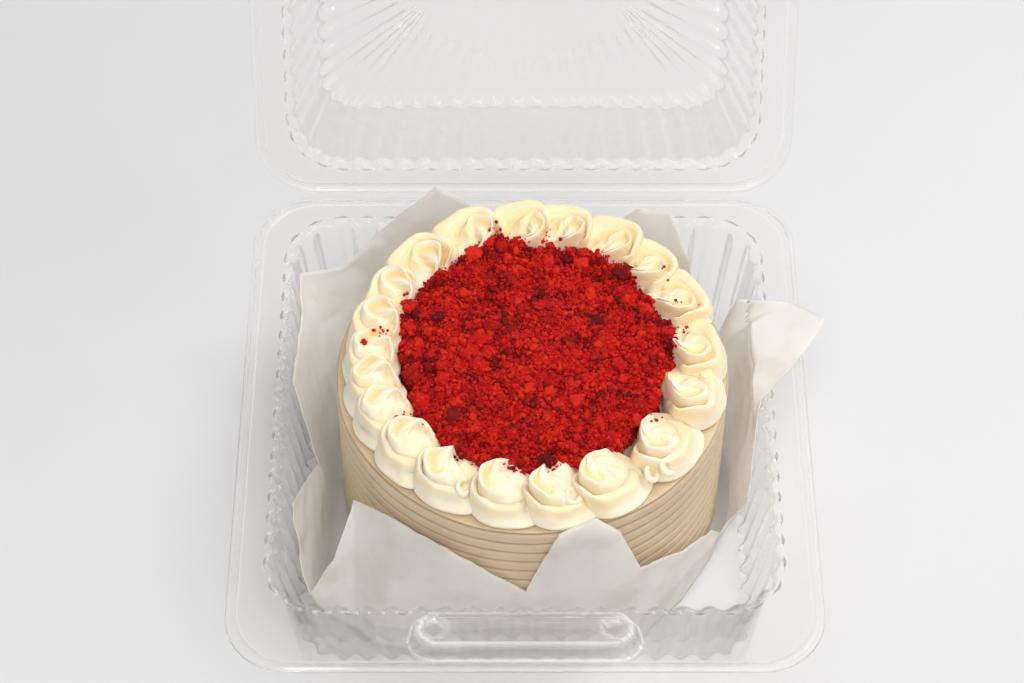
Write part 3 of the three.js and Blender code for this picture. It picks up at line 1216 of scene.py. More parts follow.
def curve_through(stations: np.ndarray, steps: int) -> np.ndarray:
    """Points on smooth curves through stations.

    Args:
        stations: Known places, as an array of stations by anything.
        steps: Steps from one station to the next.

    Returns:
        The denser array, from the first station to the last.
    """
    before = np.concatenate([stations[:1], stations[:-2]])
    here, ahead = stations[:-1], stations[1:]
    after = np.concatenate([stations[2:], stations[-1:]])
    rows = []
    for k in range(len(here)):
        for s in range(steps):
            t = s / steps
            rows.append(
                0.5
                * (
                    2 * here[k]
                    + (ahead[k] - before[k]) * t
                    + (2 * before[k] - 5 * here[k] + 4 * ahead[k] - after[k]) * t**2
                    + (3 * here[k] - before[k] - 3 * ahead[k] + after[k]) * t**3
                )
            )
    rows.append(stations[-1])
    return np.array(rows)


@dataclass(frozen=True)
class Petal:
    """A lobe of piped frosting: a lip round its outside, and a hollow or a dome inside it.

    Directions are in degrees from outwards, the side of the lower azimuth being negative, and turn
    swings them all towards the higher azimuth. Lengths and heights are in millimetres, heights above
    the cake's top. peak is where the innermost rings close, measured from the middle. fall is 0 where
    the lobe ends in a round wall, and 1 where it runs down to its outline in a long slope. fold is the
    height at which the lobe meets another, where the colour is painted warmer by warmth, as shade
    caught in the fold; points deep in the hollow get the same painted warm shade.

    foot, well and dome shape the rings under the lip, down into the hollow and over its heart: how far
    out or in each lies, and its share of the height. climb holds the same share for the two rings of
    the outside: in a round wall, what a full bulge adds, and in a long slope.
    """

    middle: tuple[float, float]
    half_width: float
    outward: float
    inward: float
    base: float
    edge: float
    crest: dict[float, float]
    crest_share: dict[float, float]
    hollow: dict[float, float]
    heart: float
    fold: float
    shelf: dict[float, float] = field(default_factory=lambda: {-90: 0.0, 90: 0.0})
    fall: dict[float, float] = field(default_factory=lambda: {-90: 0.0, 90: 0.0})
    bulge: float = 0.0
    peak: tuple[float, float] = (0.0, 0.0)
    slope: float = 0.38
    turn: float = 0.0
    power: float = 2.4
    warmth: float = 0.55
    warm_band: float = 1.7
    least_depth: float = 2.1
    peak_reach: float = 0.8
    foot: tuple[tuple[float, float], ...] = ((0.72, 0.0), (0.94, 0.12), (1.0, 0.7), (0.985, 1.0))
    climb: tuple[tuple[float, float, float], ...] = ((0.46, 0.2, 0.25), (0.86, 0.09, 0.58))
    long_slope: float = 0.4
    brow: float = 0.34
    well: tuple[tuple[float, float], ...] = ((0.06, 0.86), (0.13, 0.34), (0.22, 0.02))
    dome: tuple[tuple[float, float], ...] = ((0.66, 0.5), (0.3, 0.9), (0.0, 1.0))
    spokes: int = 72
    steps: int = 3

    def outline(self, theta: np.ndarray) -> np.ndarray:
        """The outline seen from above, as rows of across and outwards."""
        length = np.where(np.cos(theta) > 0, self.outward, self.inward)
        share = 2 / self.power
        across = self.half_width * np.sign(np.sin(theta)) * np.abs(np.sin(theta)) ** share
        outward = length * np.sign(np.cos(theta)) * np.abs(np.cos(theta)) ** share
        return np.stack([across, outward], axis=-1)

    def rings(self) -> tuple[np.ndarray, np.ndarray]:
        """Closed rings from under the lip up, over it and in to the heart.

        Returns:
            Places as rings by spokes by across, outwards and height, and how much painted warm shade each
            of them gets, from its depth in the hollow and its nearness to the fold.
        """
        theta = np.arange(self.spokes) / self.spokes * TURN
        crest, at = around(theta, self.crest), around(theta, self.crest_share)
        level = np.ones(self.spokes)
        dip, inner = around(theta, self.hollow), at - around(theta, self.shelf)
        fall = around(theta, self.fall)
        outer = self.slope + (self.long_slope - self.slope) * fall
        low, high = (
            (wall + full * self.bulge) * (1 - fall) + run * fall for wall, full, run in self.climb
        )
        floor, up = inner - self.well[-1][0], self.edge - self.base
        stations = [
            *((share * level, (self.base + rise * up) * level) for share, rise in self.foot),
            (1 - outer * (1 - at), self.edge + low * (crest - self.edge)),
            (at + self.brow * (1 - at), self.edge + high * (crest - self.edge)),
            (at, crest),
            *((inner - step, dip + rise * (crest - dip)) for step, rise in self.well),
            *((share * floor, dip + rise * (self.heart - dip)) for share, rise in self.dome),
        ]
        rows = curve_through(np.array([np.stack(pair, axis=-1) for pair in stations]), self.steps)
        angle = math.radians(self.turn)
        turned = self.outline(theta) @ np.array(
            [[math.cos(angle), -math.sin(angle)], [math.sin(angle), math.cos(angle)]]
        )
        reach, z = rows[:, :, 0], rows[:, :, 1]
        inside = smoothstep(1 - reach / self.peak_reach)[:, :, None]
        flat = np.array(self.middle) + turned[None] * rows[:, :, :1] + np.array(self.peak) * inside
        # painted shade: warmer deep in the hollow and along the fold where lobes meet
        deep = smoothstep((crest - z) / np.maximum(crest - dip, self.least_depth)) * (reach < at)
        folded = self.warmth * np.exp(-(((z - self.fold) / self.warm_band) ** 2))
        return np.concatenate([flat, rows[:, :, 1:]], axis=-1), np.maximum(deep, folded)


@dataclass(frozen=True)
class Hook:
    """A small curled tail where the nozzle came down, in the unit's plan in millimetres.

    It curls in by the share shrink, is longer than wide by stretch, and arches up by arch. taper holds
    how fast its start and its end thin out.
    """

    across: float = -15.6
    outward: float = 5.4
    height: float = 10.2
    size: float = 2.3
    thick: float = 1.1
    start: float = 10.0
    sweep: float = 290.0
    fall: float = 0.8
    shrink: float = 0.38
    stretch: float = 1.25
    arch: float = 0.7
    taper: tuple[float, float] = (9.0, 5.0)
    thinnest: float = 0.12
    tall: float = 1.2
    sides: int = 12
    steps: int = 26

    def tube(self) -> tuple[np.ndarray, np.ndarray]:
        """Rings round the tail's path, closed at both ends.

        Returns:
            Places as rings by sides by across, outwards and height, and how shaded each of them is.
        """
        share = np.linspace(0, 1, self.steps)
        angle = np.radians(self.start + self.sweep * share)
        reach = self.size * (1 - self.shrink * share)
        along = self.stretch * reach * np.sin(angle)
        rise = self.height - self.fall * along + self.arch * np.sin(share * 3)
        path = np.stack([self.across + reach * np.cos(angle), self.outward + along, rise], axis=-1)
        ahead = np.gradient(path, axis=0)
        ahead /= np.linalg.norm(ahead, axis=1)[:, None]
        side = np.cross(ahead, (0.0, 0.0, 1.0))
        side /= np.linalg.norm(side, axis=1)[:, None]
        up = np.cross(side, ahead)
        start, end = self.taper
        full = np.clip(np.minimum(share * start, (1 - share) * end), self.thinnest, 1)
        girth = self.thick * full**0.5
        turn = np.arange(self.sides) / self.sides * TURN
        across, over = np.cos(turn)[None, :, None], self.tall * np.sin(turn)[None, :, None]
        ring = across * side[:, None] + over * up[:, None]
        places = path[:, None] + ring * girth[:, None, None]
        away = np.linalg.norm(places[:, :, :2] - (self.across, self.outward), axis=2)
        return places, smoothstep((reach[:, None] - away) / self.thick)


@dataclass(frozen=True)
class PipedShell:
    """One piped unit of the border: a skirt over the cake's edge and a peaked lobe on it.

    Each unit runs from inside out towards the higher azimuth. It stands up sharp on the side of the
    lower azimuth, where it lies over the unit before it, and runs out flat on the other side. Its plan
    is in millimetres and degrees. wheel is the radius at which it is as wide as drawn, skew how far it
    is bent at the distance bow, and wobble, over the two waves, how uneven it is.
    """

    number: int
    azimuth: float
    reach: float
    width: float
    bulge: float
    lip: float
    tongue: float
    lean: float
    skew: float
    swing: float
    ridge: float
    rise: float
    hooks: tuple[Hook, ...] = ()
    inner: float = 62.0
    wheel: float = 70.0
    bow: float = 16.0
    lean_across: float = 0.6
    wobble: tuple[float, float, float] = (1.1 * MM, 1.1 * MM, 0.9 * MM)
    waves: tuple[float, float] = (11 * MM, 4.5 * MM)
    ripple: float = 0.3
    firm: float = 3 * MM

    def skirt(self) -> Petal:
        """The wide lower lobe that hangs over the cake's edge, with a shelf on top."""
        lip, rise, full = self.lip, self.rise, self.bulge
        return Petal(
            middle=(0.4, 0),
            half_width=15.2 + 0.8 * full,
            outward=self.reach - self.inner,
            inward=9,
            base=0.2,
            edge=2.9 + 0.7 * full,
            crest={-150: 8.5, -110: lip + 0.6 * rise, -80: lip + rise, -50: lip + 0.62 * rise,
                   -18: lip + 0.15 * rise, 12: lip, 45: lip - 0.4, 85: lip - 1.2, 140: 8.5},
            crest_share={-150: 0.8, -100: 0.93, -64: 0.88, -28: 0.76 + 0.08 * full, 8: 0.66 + 0.13 * full,
                         40: 0.58 + 0.1 * full, 80: 0.5, 120: 0.5},
            hollow={-120: 8.0, -64: lip - 1.8, -20: lip - 1.6, 20: lip - 1.5, 60: lip - 1.4, 110: 8.0},
            shelf={-110: 0.0, -64: 0.02, -24: 0.1, 12: 0.17, 50: 0.12, 100: 0.02},
            fall={-90: 0.0, -45: 0.3, 0: 0.85 - 0.45 * full, 45: 1.0 - 0.25 * full, 75: 1.0, 130: 1.0,
                  170: 0.4},
            heart=9.0,
            fold=lip - 0.8,
            bulge=full,
            turn=self.swing * 0.25,
            power=2.4 + 0.8 * full,
        )  # fmt: skip

    def upper(self) -> Petal:
        """The wide inner lobe: a sharp blade on its left, a peak by the crumbs, and a long fall."""
        top = self.tongue
        return Petal(
            middle=(0.4, -0.8),
            half_width=12.9 + 0.5 * self.bulge,
            outward=11.6 - 1.4 * self.bulge,
            inward=8.6,
            base=4,
            edge=6.6,
            crest={-160: top + 2.0, -110: top + 3.2 + self.ridge, -78: top + 2.0, -48: top + 0.8,
                   -18: top - 0.2, 15: top - 1.4, 50: top - 2.9, 90: top - 2.6, 150: top - 0.6},
            crest_share={-160: 0.86, -105: 0.93, -64: 0.86, -30: 0.6, 5: 0.38, 45: 0.34, 90: 0.41,
                         130: 0.62},
            fall={-120: 0.0, -64: 0.0, -24: 0.6, 8: 1.0, 110: 1.0, 150: 0.5},
            hollow={-140: top + 1.2, -95: top + 0.2, -60: top - 0.4, -30: top - 0.6, 15: top - 1.3,
                    50: top - 2.6, 90: top - 2.2, 170: top + 0.6},
            heart=top + 2.8,
            fold=self.lip - 0.8,
            peak=(-5.0, -4.4),
            slope=0.6,
            turn=self.swing,
            power=2.2,
            spokes=88,
        )  # fmt: skip

    def place(self, plan: np.ndarray) -> np.ndarray:
        """Puts points of the unit's own plan on the cake, turned by its lean and bent by its skew."""
        across, outward, z = plan[..., 0] * self.width, plan[..., 1], plan[..., 2]
        tilt = math.radians(self.lean)
        x = across * math.cos(tilt) - outward * math.sin(tilt) + self.skew * (outward / self.bow) ** 2
        y = across * math.sin(tilt) * self.lean_across + outward * math.cos(tilt)
        azimuth = math.radians(self.azimuth) + x / self.wheel
        return AXIS.places(azimuth, (self.inner + y) * MM, AXIS.top + z * MM)

    def build(self, material: bpy.types.Material) -> bpy.types.Object:
        """Makes the unit.

        Args:
            material: The frosting.

        Returns:
            The unit, riding on the box in place of its plain solid.
        """
        points, faces, shade, count = [], [], [], 0
        parts = [petal.rings() for petal in (self.skirt(), self.upper())]
        for plan, deep in parts + [hook.tube() for hook in self.hooks]:
            rings, spokes = plan.shape[:2]
            ends = self.place(np.array([plan[0].mean(axis=0), plan[-1].mean(axis=0)]))
            first = count + np.arange(spokes)
            faces += grid_faces(rings, spokes, count).tolist()
            faces += fan_faces(first, count + rings * spokes, flip=True).tolist()
            faces += fan_faces(first + spokes * (rings - 1), count + rings * spokes + 1).tolist()
            points += [self.place(plan).reshape(-1, 3), ends]
            shade += [deep.ravel(), [0.0, 0.0]]
            count += rings * spokes + 2
        places = np.concatenate(points)
        free = smoothstep((places[:, 2] - AXIS.top) / self.firm)
        for axis, amount in enumerate(self.wobble):
            wobble = roughly(places, self.waves[0], self.number * 3 + axis)
            wobble += self.ripple * roughly(places, self.waves[1], self.number + 60 * axis)
            places[:, axis] += amount * wobble * free
        obj = new_mesh(f"piped_shell_{self.number:02d}", places, faces)
        # painted shade: warm colour in the petals' hollows and folds and inside the curls
        add_values(obj, "hollow", np.concatenate(shade))
        obj.data.materials.append(material)
        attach(obj, Body.BOX.value)
        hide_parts(f"shell_{self.number:02d}")
        return obj


@dataclass(frozen=True)
class Varied:
    """A measure that differs from shell to shell.

    It has a mean, grows by back towards the far side, and varies by uneven times one of the shell's
    own draws.
    """

    mean: float
    back: float = 0.0
    uneven: float = 0.0
    draw: int = 0

    def at(self, back: float, draws: Sequence[float]) -> float:
        """The measure of a shell that stands at back, which is 1 behind and -1 in front."""
        return self.mean + self.back * back + self.uneven * draws[self.draw]


@dataclass
class PipedBorder:
    """The ring of piped shells round the cake's top.

    ring is the mean radius out to the shells' lips in millimetres, and the lines after it say how much
    it changes at both sides, behind and on the right, and by chance. width holds a shell's least width,
    what its room adds, and chance. bulge holds its mean, and what is added behind and taken on the left.
    """

    azimuths: tuple[float, ...] = (
        6, 28, 46, 62, 80, 95, 114, 136, 153, 167, 181, 193, 206, 223, 241, 261, 279, 297, 322, 346,
    )  # fmt: skip
    ring: float = 77.2
    ring_sides: float = -1.4
    ring_back: float = 1.2
    ring_right: float = 0.8
    ring_uneven: float = 1.6
    width: tuple[float, float, float] = (0.56, 0.54, 0.12)
    full_room: float = 24.4
    bulge: tuple[float, float, float] = (0.55, 1.1, 0.45)
    varied: dict[str, Varied] = field(
        default_factory=lambda: {
            "lip": Varied(12.2, 3.3, 1.3, 1),
            "tongue": Varied(14.4, 0.6, 2.0, 2),
            "lean": Varied(-2.0, 0.0, 15.0, 3),
            "skew": Varied(0.0, 0.0, 2.6, 4),
            "swing": Varied(26.0, 0.0, 20.0, 1),
            "ridge": Varied(0.0, 0.0, 1.8, 5),
            "rise": Varied(2.6, -1.4),
        }
    )
    draw_steps: tuple[float, ...] = (3.7, 2.1, 4.3, 1.9, 2.9, 5.3)
    hooks: dict[float, tuple[Hook, ...]] = field(
        default_factory=lambda: {
            6: (Hook(size=1.6),),
            28: (Hook(across=-13, outward=9, height=8, size=1.7),),
            261: (Hook(),),
            297: (Hook(size=2.2),),
            322: (
                Hook(across=-14.4, outward=8.6, height=8.6, size=2.4),
                Hook(across=-9.4, outward=11.8, height=10.4, size=1.9, start=60),
            ),
        }
    )

    def shells(self) -> list[PipedShell]:
        """The shells with their own sizes."""
        shells = []
        count = len(self.azimuths)
        least, by_room, uneven = self.width
        round_wall, more_behind, less_left = self.bulge
        for k, azimuth in enumerate(self.azimuths):
            before = (azimuth - self.azimuths[k - 1]) % 360
            after = (self.azimuths[(k + 1) % count] - azimuth) % 360
            room = math.radians((before + after) / 2) * PipedShell.wheel
            draws = [noise.noise(Vector((k * step, 1.3 + step, 0.4))) for step in self.draw_steps]
            back, right = math.sin(math.radians(azimuth)), math.cos(math.radians(azimuth))
            ring = self.ring + self.ring_sides * right**2 + self.ring_back * max(back, 0)
            bulge = round_wall + more_behind * back - less_left * max(-right, 0)
            shells.append(
                PipedShell(
                    number=k + 1,
                    azimuth=azimuth,
                    reach=ring + self.ring_right * right + self.ring_uneven * draws[0],
                    width=least + by_room * room / self.full_room + uneven * draws[5],
                    bulge=min(max(bulge, 0.0), 1.0),
                    hooks=self.hooks.get(azimuth, ()),
                    **{name: measure.at(back, draws) for name, measure in self.varied.items()},
                )
            )
        return shells

    def build(self, material: bpy.types.Material) -> list[bpy.types.Object]:
        """Makes every shell of the border."""
        return [shell.build(material) for shell in self.shells()]


# Crumbs


@dataclass(frozen=True)
class CrumbKind:
    """One kind of crumb: its roundness, the room it takes, its radii, and how far it sinks or rises."""

    name: str
    detail: int
    spacing: float
    smallest: float
    largest: float
    sink: float
    stack: float
    seed: int


@dataclass
class CrumbHeap:
    """Red crumbs heaped inside the border: a rough core under clumps and loose grains.

    edge holds azimuths in degrees and how far the heap reaches there in millimetres. fray, clump, lump
    and grain hold the size of an unevenness and how strong it is, and core_tone the core's mean tone
    and what those three add to it, so that the core is painted darker in its hollows and lighter on
    its tops, as painted shade and light. The core lies over_frosting above the border, but not where
    the border stands higher than covers. Crumbs above pressed are pushed down by the share press.

    Crumbs are more often small as small_share grows. tone_patches holds the scale and the contrast of
    their patches of tone. loose holds azimuth, reach, spread and number of the crumbs on the frosting,
    and scattered is how many more lie round the heap's edge. stray_size holds the least radius of both
    and how much larger they may be, in millimetres.
    """

    edge: tuple[tuple[float, float], ...] = (
        (2, 58), (16, 57), (33, 55.5), (47, 58), (61, 59), (71, 56), (80, 56), (91, 57), (103, 62),
        (115, 57.5), (130, 58), (143, 56), (156, 56), (170, 53), (181, 52), (196, 50), (207, 54),
        (224, 57), (236, 59), (246, 58.5), (257, 58), (274, 58), (287, 57), (300, 52), (312, 53),
        (327, 54), (340, 53), (354, 55.5),
    )  # fmt: skip
    rings: int = 110
    spokes: int = 560
    height: float = 14 * MM
    rim: float = 9 * MM
    shy: float = 1.4 * MM
    shy_in_front: float = 1.0 * MM
    slump: float = 0.7
    ragged: float = 2.4 * MM
    fray: tuple[tuple[float, float], ...] = ((16 * MM, 0.8), (7 * MM, 1.0), (3 * MM, 0.5))
    clump: tuple[float, float] = (9 * MM, 3.4 * MM)
    lump: tuple[float, float] = (3.6 * MM, 1.9 * MM)
    grain: tuple[float, float] = (1.5 * MM, 0.8 * MM)
    core_tone: tuple[float, float, float, float] = (0.37, 0.2, 0.5, 0.35)
    over_frosting: float = 0.8 * MM
    over_uneven: float = 0.6 * MM
    covers: float = 15.2 * MM
    bares: float = 1.2 * MM
    sunk: float = 2.5 * MM
    foot: float = 0.3 * MM
    pressed: float = 94.5 * MM
    press: float = 0.45
    kinds: tuple[CrumbKind, ...] = (
        CrumbKind("crumb_clumps", 3, 7.2 * MM, 1.8 * MM, 3.8 * MM, 1.2 * MM, 1.8 * MM, 5),
        CrumbKind("crumb_lumps", 2, 3.0 * MM, 0.9 * MM, 1.8 * MM, 0.3 * MM, 1.6 * MM, 17),
        CrumbKind("crumb_bits", 1, 1.6 * MM, 0.5 * MM, 1.1 * MM, 0.0 * MM, 1.4 * MM, 29),
        CrumbKind("crumb_dust", 1, 1.36 * MM, 0.3 * MM, 0.6 * MM, 0.0 * MM, 1.8 * MM, 41),
    )
    shapes_each: int = 7
    densest: float = 4.0e6
    small_share: float = 2.2
    squeeze: tuple[float, float] = (0.75, 1.25)
    tone_span: tuple[float, float] = (0.25, 1.0)
    tone_patches: tuple[float, float] = (130.0, 2.0)
    loose: tuple[tuple[float, float, float, int], ...] = (
        (177, 65, 1.5, 5), (172, 59, 1.5, 9), (22, 64, 1.8, 5), (34, 66, 1.4, 3), (12, 61, 1.6, 5),
        (212, 59, 1.8, 14), (104, 62, 1.6, 12), (84, 59, 1.6, 6), (150, 58, 1.6, 4), (325, 57, 1.6, 4),
    )  # fmt: skip
    scattered: int = 60
    beyond: float = 1.6
    apart: float = 0.8
    stray_size: tuple[float, float] = (0.3, 0.7)
    stray_sink: float = 0.45
    stray_tone: float = 0.62
    stray_seed: int = 11

    def edge_radius(self, azimuth: np.ndarray) -> np.ndarray:
        """How far the heap reaches at each azimuth, in radians."""
        known = np.radians([a for a, _ in self.edge])
        reach = np.array([r for _, r in self.edge]) * MM
        smooth = np.interp(azimuth % TURN, known, reach, period=TURN)
        places = AXIS.places(azimuth, smooth, np.float64(0))
        front = self.shy_in_front * np.maximum(-np.sin(azimuth), 0)
        fray = sum(share * roughly(places, wave, 30 + k) for k, (wave, share) in enumerate(self.fray))
        return smooth - self.shy - front + self.ragged * fray

    def core(self, border: BVHTree) -> bpy.types.Object:
        """The heap's body, which the crumbs lie on, laid over the tongues where they stand higher.

        Args:
            border: The piped frosting.

        Returns:
            The closed core.
        """
        rings, spokes = self.rings, self.spokes
        azimuth = np.arange(spokes) / spokes * TURN
        reach = self.edge_radius(azimuth)
        rows = []
        for k in range(1, rings + 1):
            share = k / rings
            z = self.rim + (self.height - self.rim) * (1 - share**2) ** self.slump
            rows.append(AXIS.places(azimuth, reach * share, AXIS.top + np.full(spokes, z)))
        points = np.concatenate(rows)
        clumps = granular(points, self.clump[0], 11) - 0.6
        lumps = granular(points, self.lump[0], 12) - 0.6
        grains = granular(points, self.grain[0], 13) - 0.5
        points[:, 2] += self.clump[1] * clumps + self.lump[1] * lumps + self.grain[1] * grains
        for k, point in enumerate(points):
            hit = border.ray_cast(Vector((point[0], point[1], AXIS.top + 0.1)), Vector((0, 0, -1)))[0]
            if hit is not None:
                least = max(point[2], hit.z + self.over_frosting + self.over_uneven * grains[k])
                bare = smoothstep((hit.z - AXIS.top - self.covers) / self.bares)
                points[k, 2] = least + (hit.z - self.sunk - least) * bare
        # painted shade and light: the core's tone follows its relief, darker in hollows and lighter on tops
        mean, by_clump, by_lump, by_grain = self.core_tone
        tone = mean + by_clump * clumps + by_lump * lumps + by_grain * grains
        last = points[-spokes:].copy()
        last[:, 2] -= self.sunk
        under = last.copy()
        under[:, 2] = AXIS.top + self.foot
        ends = AXIS.places(np.zeros(2), np.zeros(2), AXIS.top + np.array([self.height, self.foot]))
        points = np.concatenate([points, last, under, ends])
        faces = grid_faces(rings + 2, spokes)[:, ::-1].tolist()
        faces += fan_faces(np.arange(spokes), len(points) - 2).tolist()
        faces += fan_faces(np.arange(spokes) + spokes * (rings + 1), len(points) - 1, flip=True).tolist()
        obj = new_mesh("crumb_core", points, faces)
        # painted shade: the sunk edge and the underside take a low, dark tone
        add_values(obj, "tone", np.concatenate([np.clip(tone, 0, 0.75), np.full(2 * spokes + 2, 0.1)]))
        return obj

    @staticmethod
    def crumb_shape(name: str, detail: int, seed: int) -> bpy.types.Object:
        """One ragged crumb of unit radius."""
        mesh = bpy.data.meshes.new(name)
        ball = bmesh.new()
        bmesh.ops.create_icosphere(ball, subdivisions=detail, radius=1.0)
        shift = Vector((seed * 5.1, seed * 2.3, seed * 8.7))
        for vertex in ball.verts:
            way = vertex.co.normalized()
            push = 0.5 * noise.noise(way * 1.2 + shift) + 0.25 * noise.noise(way * 2.6 + shift)
            knob = noise.voronoi(way * 2.0 + shift)[0][0]
            grain = noise.voronoi(way * (2.0 + 0.8 * detail) + shift)[0][0]
            swell = 0.3 * math.sqrt(max(1 - (knob / 0.75) ** 2, 0))
            swell += 0.2 * math.sqrt(max(1 - (grain / 0.75) ** 2, 0))
            vertex.co = way * (0.64 + push + swell)
        ball.to_mesh(mesh)
        ball.free()
        mesh.shade_smooth()
        return bpy.data.objects.new(name, mesh)

    def tree(self) -> bpy.types.NodeTree:
        """Geometry Nodes that strew crumbs over a surface."""
        tree = Tree.group(
            "strewn_crumbs",
            "GeometryNodeTree",
            [
                ("Geometry", "NodeSocketGeometry"),
                ("Shapes", "NodeSocketCollection"),
                ("Spacing", "NodeSocketFloat"),
                ("Smallest", "NodeSocketFloat"),
                ("Largest", "NodeSocketFloat"),
                ("Sink", "NodeSocketFloat"),
                ("Stack", "NodeSocketFloat"),
                ("Seed", "NodeSocketInt"),
                ("Material", "NodeSocketMaterial"),
            ],
            [("Geometry", "NodeSocketGeometry")],
        )
        source = tree.start.outputs
        spots = tree.add(
            "GeometryNodeDistributePointsOnFaces",
            {
                "Mesh": source["Geometry"],
                "Distance Min": source["Spacing"],
                "Density Max": self.densest,
                "Seed": source["Seed"],
            },
            distribute_method="POISSON",
        )

        def drawn(kind: str, low: object, high: object, extra: int) -> bpy.types.NodeSocket:
            """A random value for each crumb."""
            seed = tree.math("ADD", source["Seed"], float(extra))
            node = tree.add("FunctionNodeRandomValue", {"Seed": seed}, data_type=kind)
            first = 0 if kind == "FLOAT_VECTOR" else 2
            tree.feed(node.inputs[first], low)
            tree.feed(node.inputs[first + 1], high)
            return node.outputs[0 if kind == "FLOAT_VECTOR" else 1]

        share = tree.math("POWER", drawn("FLOAT", 0.0, 1.0, 1), self.small_share)
        span = tree.math("SUBTRACT", source["Largest"], source["Smallest"])
        size = tree.math("ADD", tree.math("MULTIPLY", share, span), source["Smallest"])
        raised = tree.math("SUBTRACT", drawn("FLOAT", 0.0, source["Stack"], 2), source["Sink"])
        lift = tree.add(
            "ShaderNodeVectorMath", {0: spots.outputs["Normal"], "Scale": raised}, operation="SCALE"
        )
        moved = tree.add(
            "GeometryNodeSetPosition", {"Geometry": spots.outputs["Points"], "Offset": lift.outputs[0]}
        )
        shapes = tree.add(
            "GeometryNodeCollectionInfo",
            {0: source["Shapes"], "Separate Children": True, "Reset Children": True},
        )
        turn = drawn("FLOAT_VECTOR", (0.0, 0.0, 0.0), (TURN, TURN, TURN), 3)
        stretch = drawn("FLOAT_VECTOR", *((limit,) * 3 for limit in self.squeeze), 4)
        scale = tree.add("ShaderNodeVectorMath", {0: stretch, "Scale": size}, operation="SCALE")
        placed = tree.add(
            "GeometryNodeInstanceOnPoints",
            {
                "Points": moved.outputs[0],
                "Instance": shapes.outputs[0],
                "Pick Instance": True,
                "Rotation": turn,
                "Scale": scale.outputs[0],
            },
        )
        place = tree.add("GeometryNodeInputPosition")
        scale_of, contrast = self.tone_patches
        patches = tree.add(
            "ShaderNodeTexNoise", {"Vector": place.outputs[0], "Scale": scale_of, "Detail": 1.0}
        )
        patch = tree.math("MULTIPLY", tree.math("SUBTRACT", patches.outputs["Fac"], 0.5), contrast)
        tone = tree.math("ADD", drawn("FLOAT", *self.tone_span, 5), patch)
        toned = tree.add(
            "GeometryNodeStoreNamedAttribute",
            {"Geometry": placed.outputs[0], "Name": "tone", "Value": tone},
            data_type="FLOAT",
            domain="INSTANCE",
        )
        tree.dress(toned.outputs[0], source["Material"])
        return tree.tree

    def strew(
        self,
        kind: CrumbKind,
        ground: bpy.types.Object,
        tree: bpy.types.NodeTree,
        material: bpy.types.Material,
        shapes: bpy.types.Collection,
    ) -> bpy.types.Object:
        """Strews one kind of crumb over the ground, a little pressed down where it stands highest.

        Args:
            kind: How large and how close the crumbs are.
            ground: What they lie on.
            tree: The strewing node tree.
            material: The crumb's finish.
            shapes: The crumbs to choose from.

        Returns:
            All the crumbs of that kind as one piece.
        """
        obj = bpy.data.objects.new(kind.name, ground.data.copy())
        bpy.context.scene.collection.objects.link(obj)
        obj = grown(
            obj,
            tree,
            Shapes=shapes,
            Spacing=kind.spacing,
            Smallest=kind.smallest,
            Largest=kind.largest,
            Sink=kind.sink,
            Stack=kind.stack,
            Seed=kind.seed,
            Material=material,
        )
        points = np.empty(3 * len(obj.data.vertices))
        obj.data.vertices.foreach_get("co", points)
        points[2::3] -= self.press * np.maximum(points[2::3] - self.pressed, 0)
        obj.data.vertices.foreach_set("co", points)
        return obj

    def build(self, material: bpy.types.Material, border: list[bpy.types.Object]) -> list[bpy.types.Object]:
        """Makes the heap.

        Args:
            material: The crumb's finish.
            border: The piped pieces that the heap lies against.

        Returns:
            The core and each kind of crumb on it.
        """
        core = self.core(surface_tree(border))
        core.data.materials.append(material)
        tree = self.tree()
        pieces = [core]
        for kind in self.kinds:
            shapes = bpy.data.collections.new(f"{kind.name}_shapes")
            bpy.context.scene.collection.children.link(shapes)
            for k in range(self.shapes_each):
                shape = self.crumb_shape(f"{kind.name}_shape_{k}", kind.detail, k + 10 * kind.detail)
                shapes.objects.link(shape)
            pieces.append(self.strew(kind, core, tree, material, shapes))
            remove(shapes.objects)
            bpy.data.collections.remove(shapes)
        pieces.append(self.strays(surface_tree([*border, *pieces]), material))
        for piece in pieces:
            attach(piece, Body.BOX.value)
            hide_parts("crumbs")
        return pieces

    def strays(self, ground: BVHTree, material: bpy.types.Material) -> bpy.types.Object:
        """Loose crumbs that lie on the frosting round the heap.

        Args:
            ground: The frosting and the heap that they lie on.
            material: The crumb's finish.

        Returns:
            All the loose crumbs as one piece.
        """
        draw = random.Random(self.stray_seed)
        joined = bmesh.new()
        places = [group[:3] for group in self.loose for _ in range(group[3])]
        rims = np.degrees(np.linspace(0, TURN, self.scattered, endpoint=False))
        reaches = self.edge_radius(np.radians(rims)) / MM
        places += [
            (rim, reach + draw.uniform(0, self.beyond), self.apart) for rim, reach in zip(rims, reaches)
        ]
        for k, (azimuth, reach, spread) in enumerate(places):
            angle = math.radians(azimuth) + draw.gauss(0, spread / reach)
            away = np.float64((reach + draw.gauss(0, spread)) * MM)
            at = AXIS.places(np.float64(angle), away, np.float64(0.2))
            hit = ground.ray_cast(Vector(at), Vector((0, 0, -1)))[0]
            if hit is None:
                continue
            size = (self.stray_size[0] + self.stray_size[1] * draw.random() ** 2) * MM
            shape = self.crumb_shape("stray", 2, 40 + k)
            turn = Euler([draw.uniform(0, TURN) for _ in range(3)]).to_matrix().to_4x4()
            rest = Matrix.Translation(hit + Vector((0, 0, self.stray_sink * size)))
            shape.data.transform(rest @ turn @ Matrix.Scale(size, 4))
            joined.from_mesh(shape.data)
            remove([shape])
        mesh = bpy.data.meshes.new("stray_crumbs")
        joined.to_mesh(mesh)
        joined.free()
        mesh.shade_smooth()
        obj = bpy.data.objects.new("stray_crumbs", mesh)
        bpy.context.scene.collection.objects.link(obj)
        add_values(obj, "tone", np.full(len(mesh.vertices), self.stray_tone))
        obj.data.materials.append(material)
        return obj


# Paper


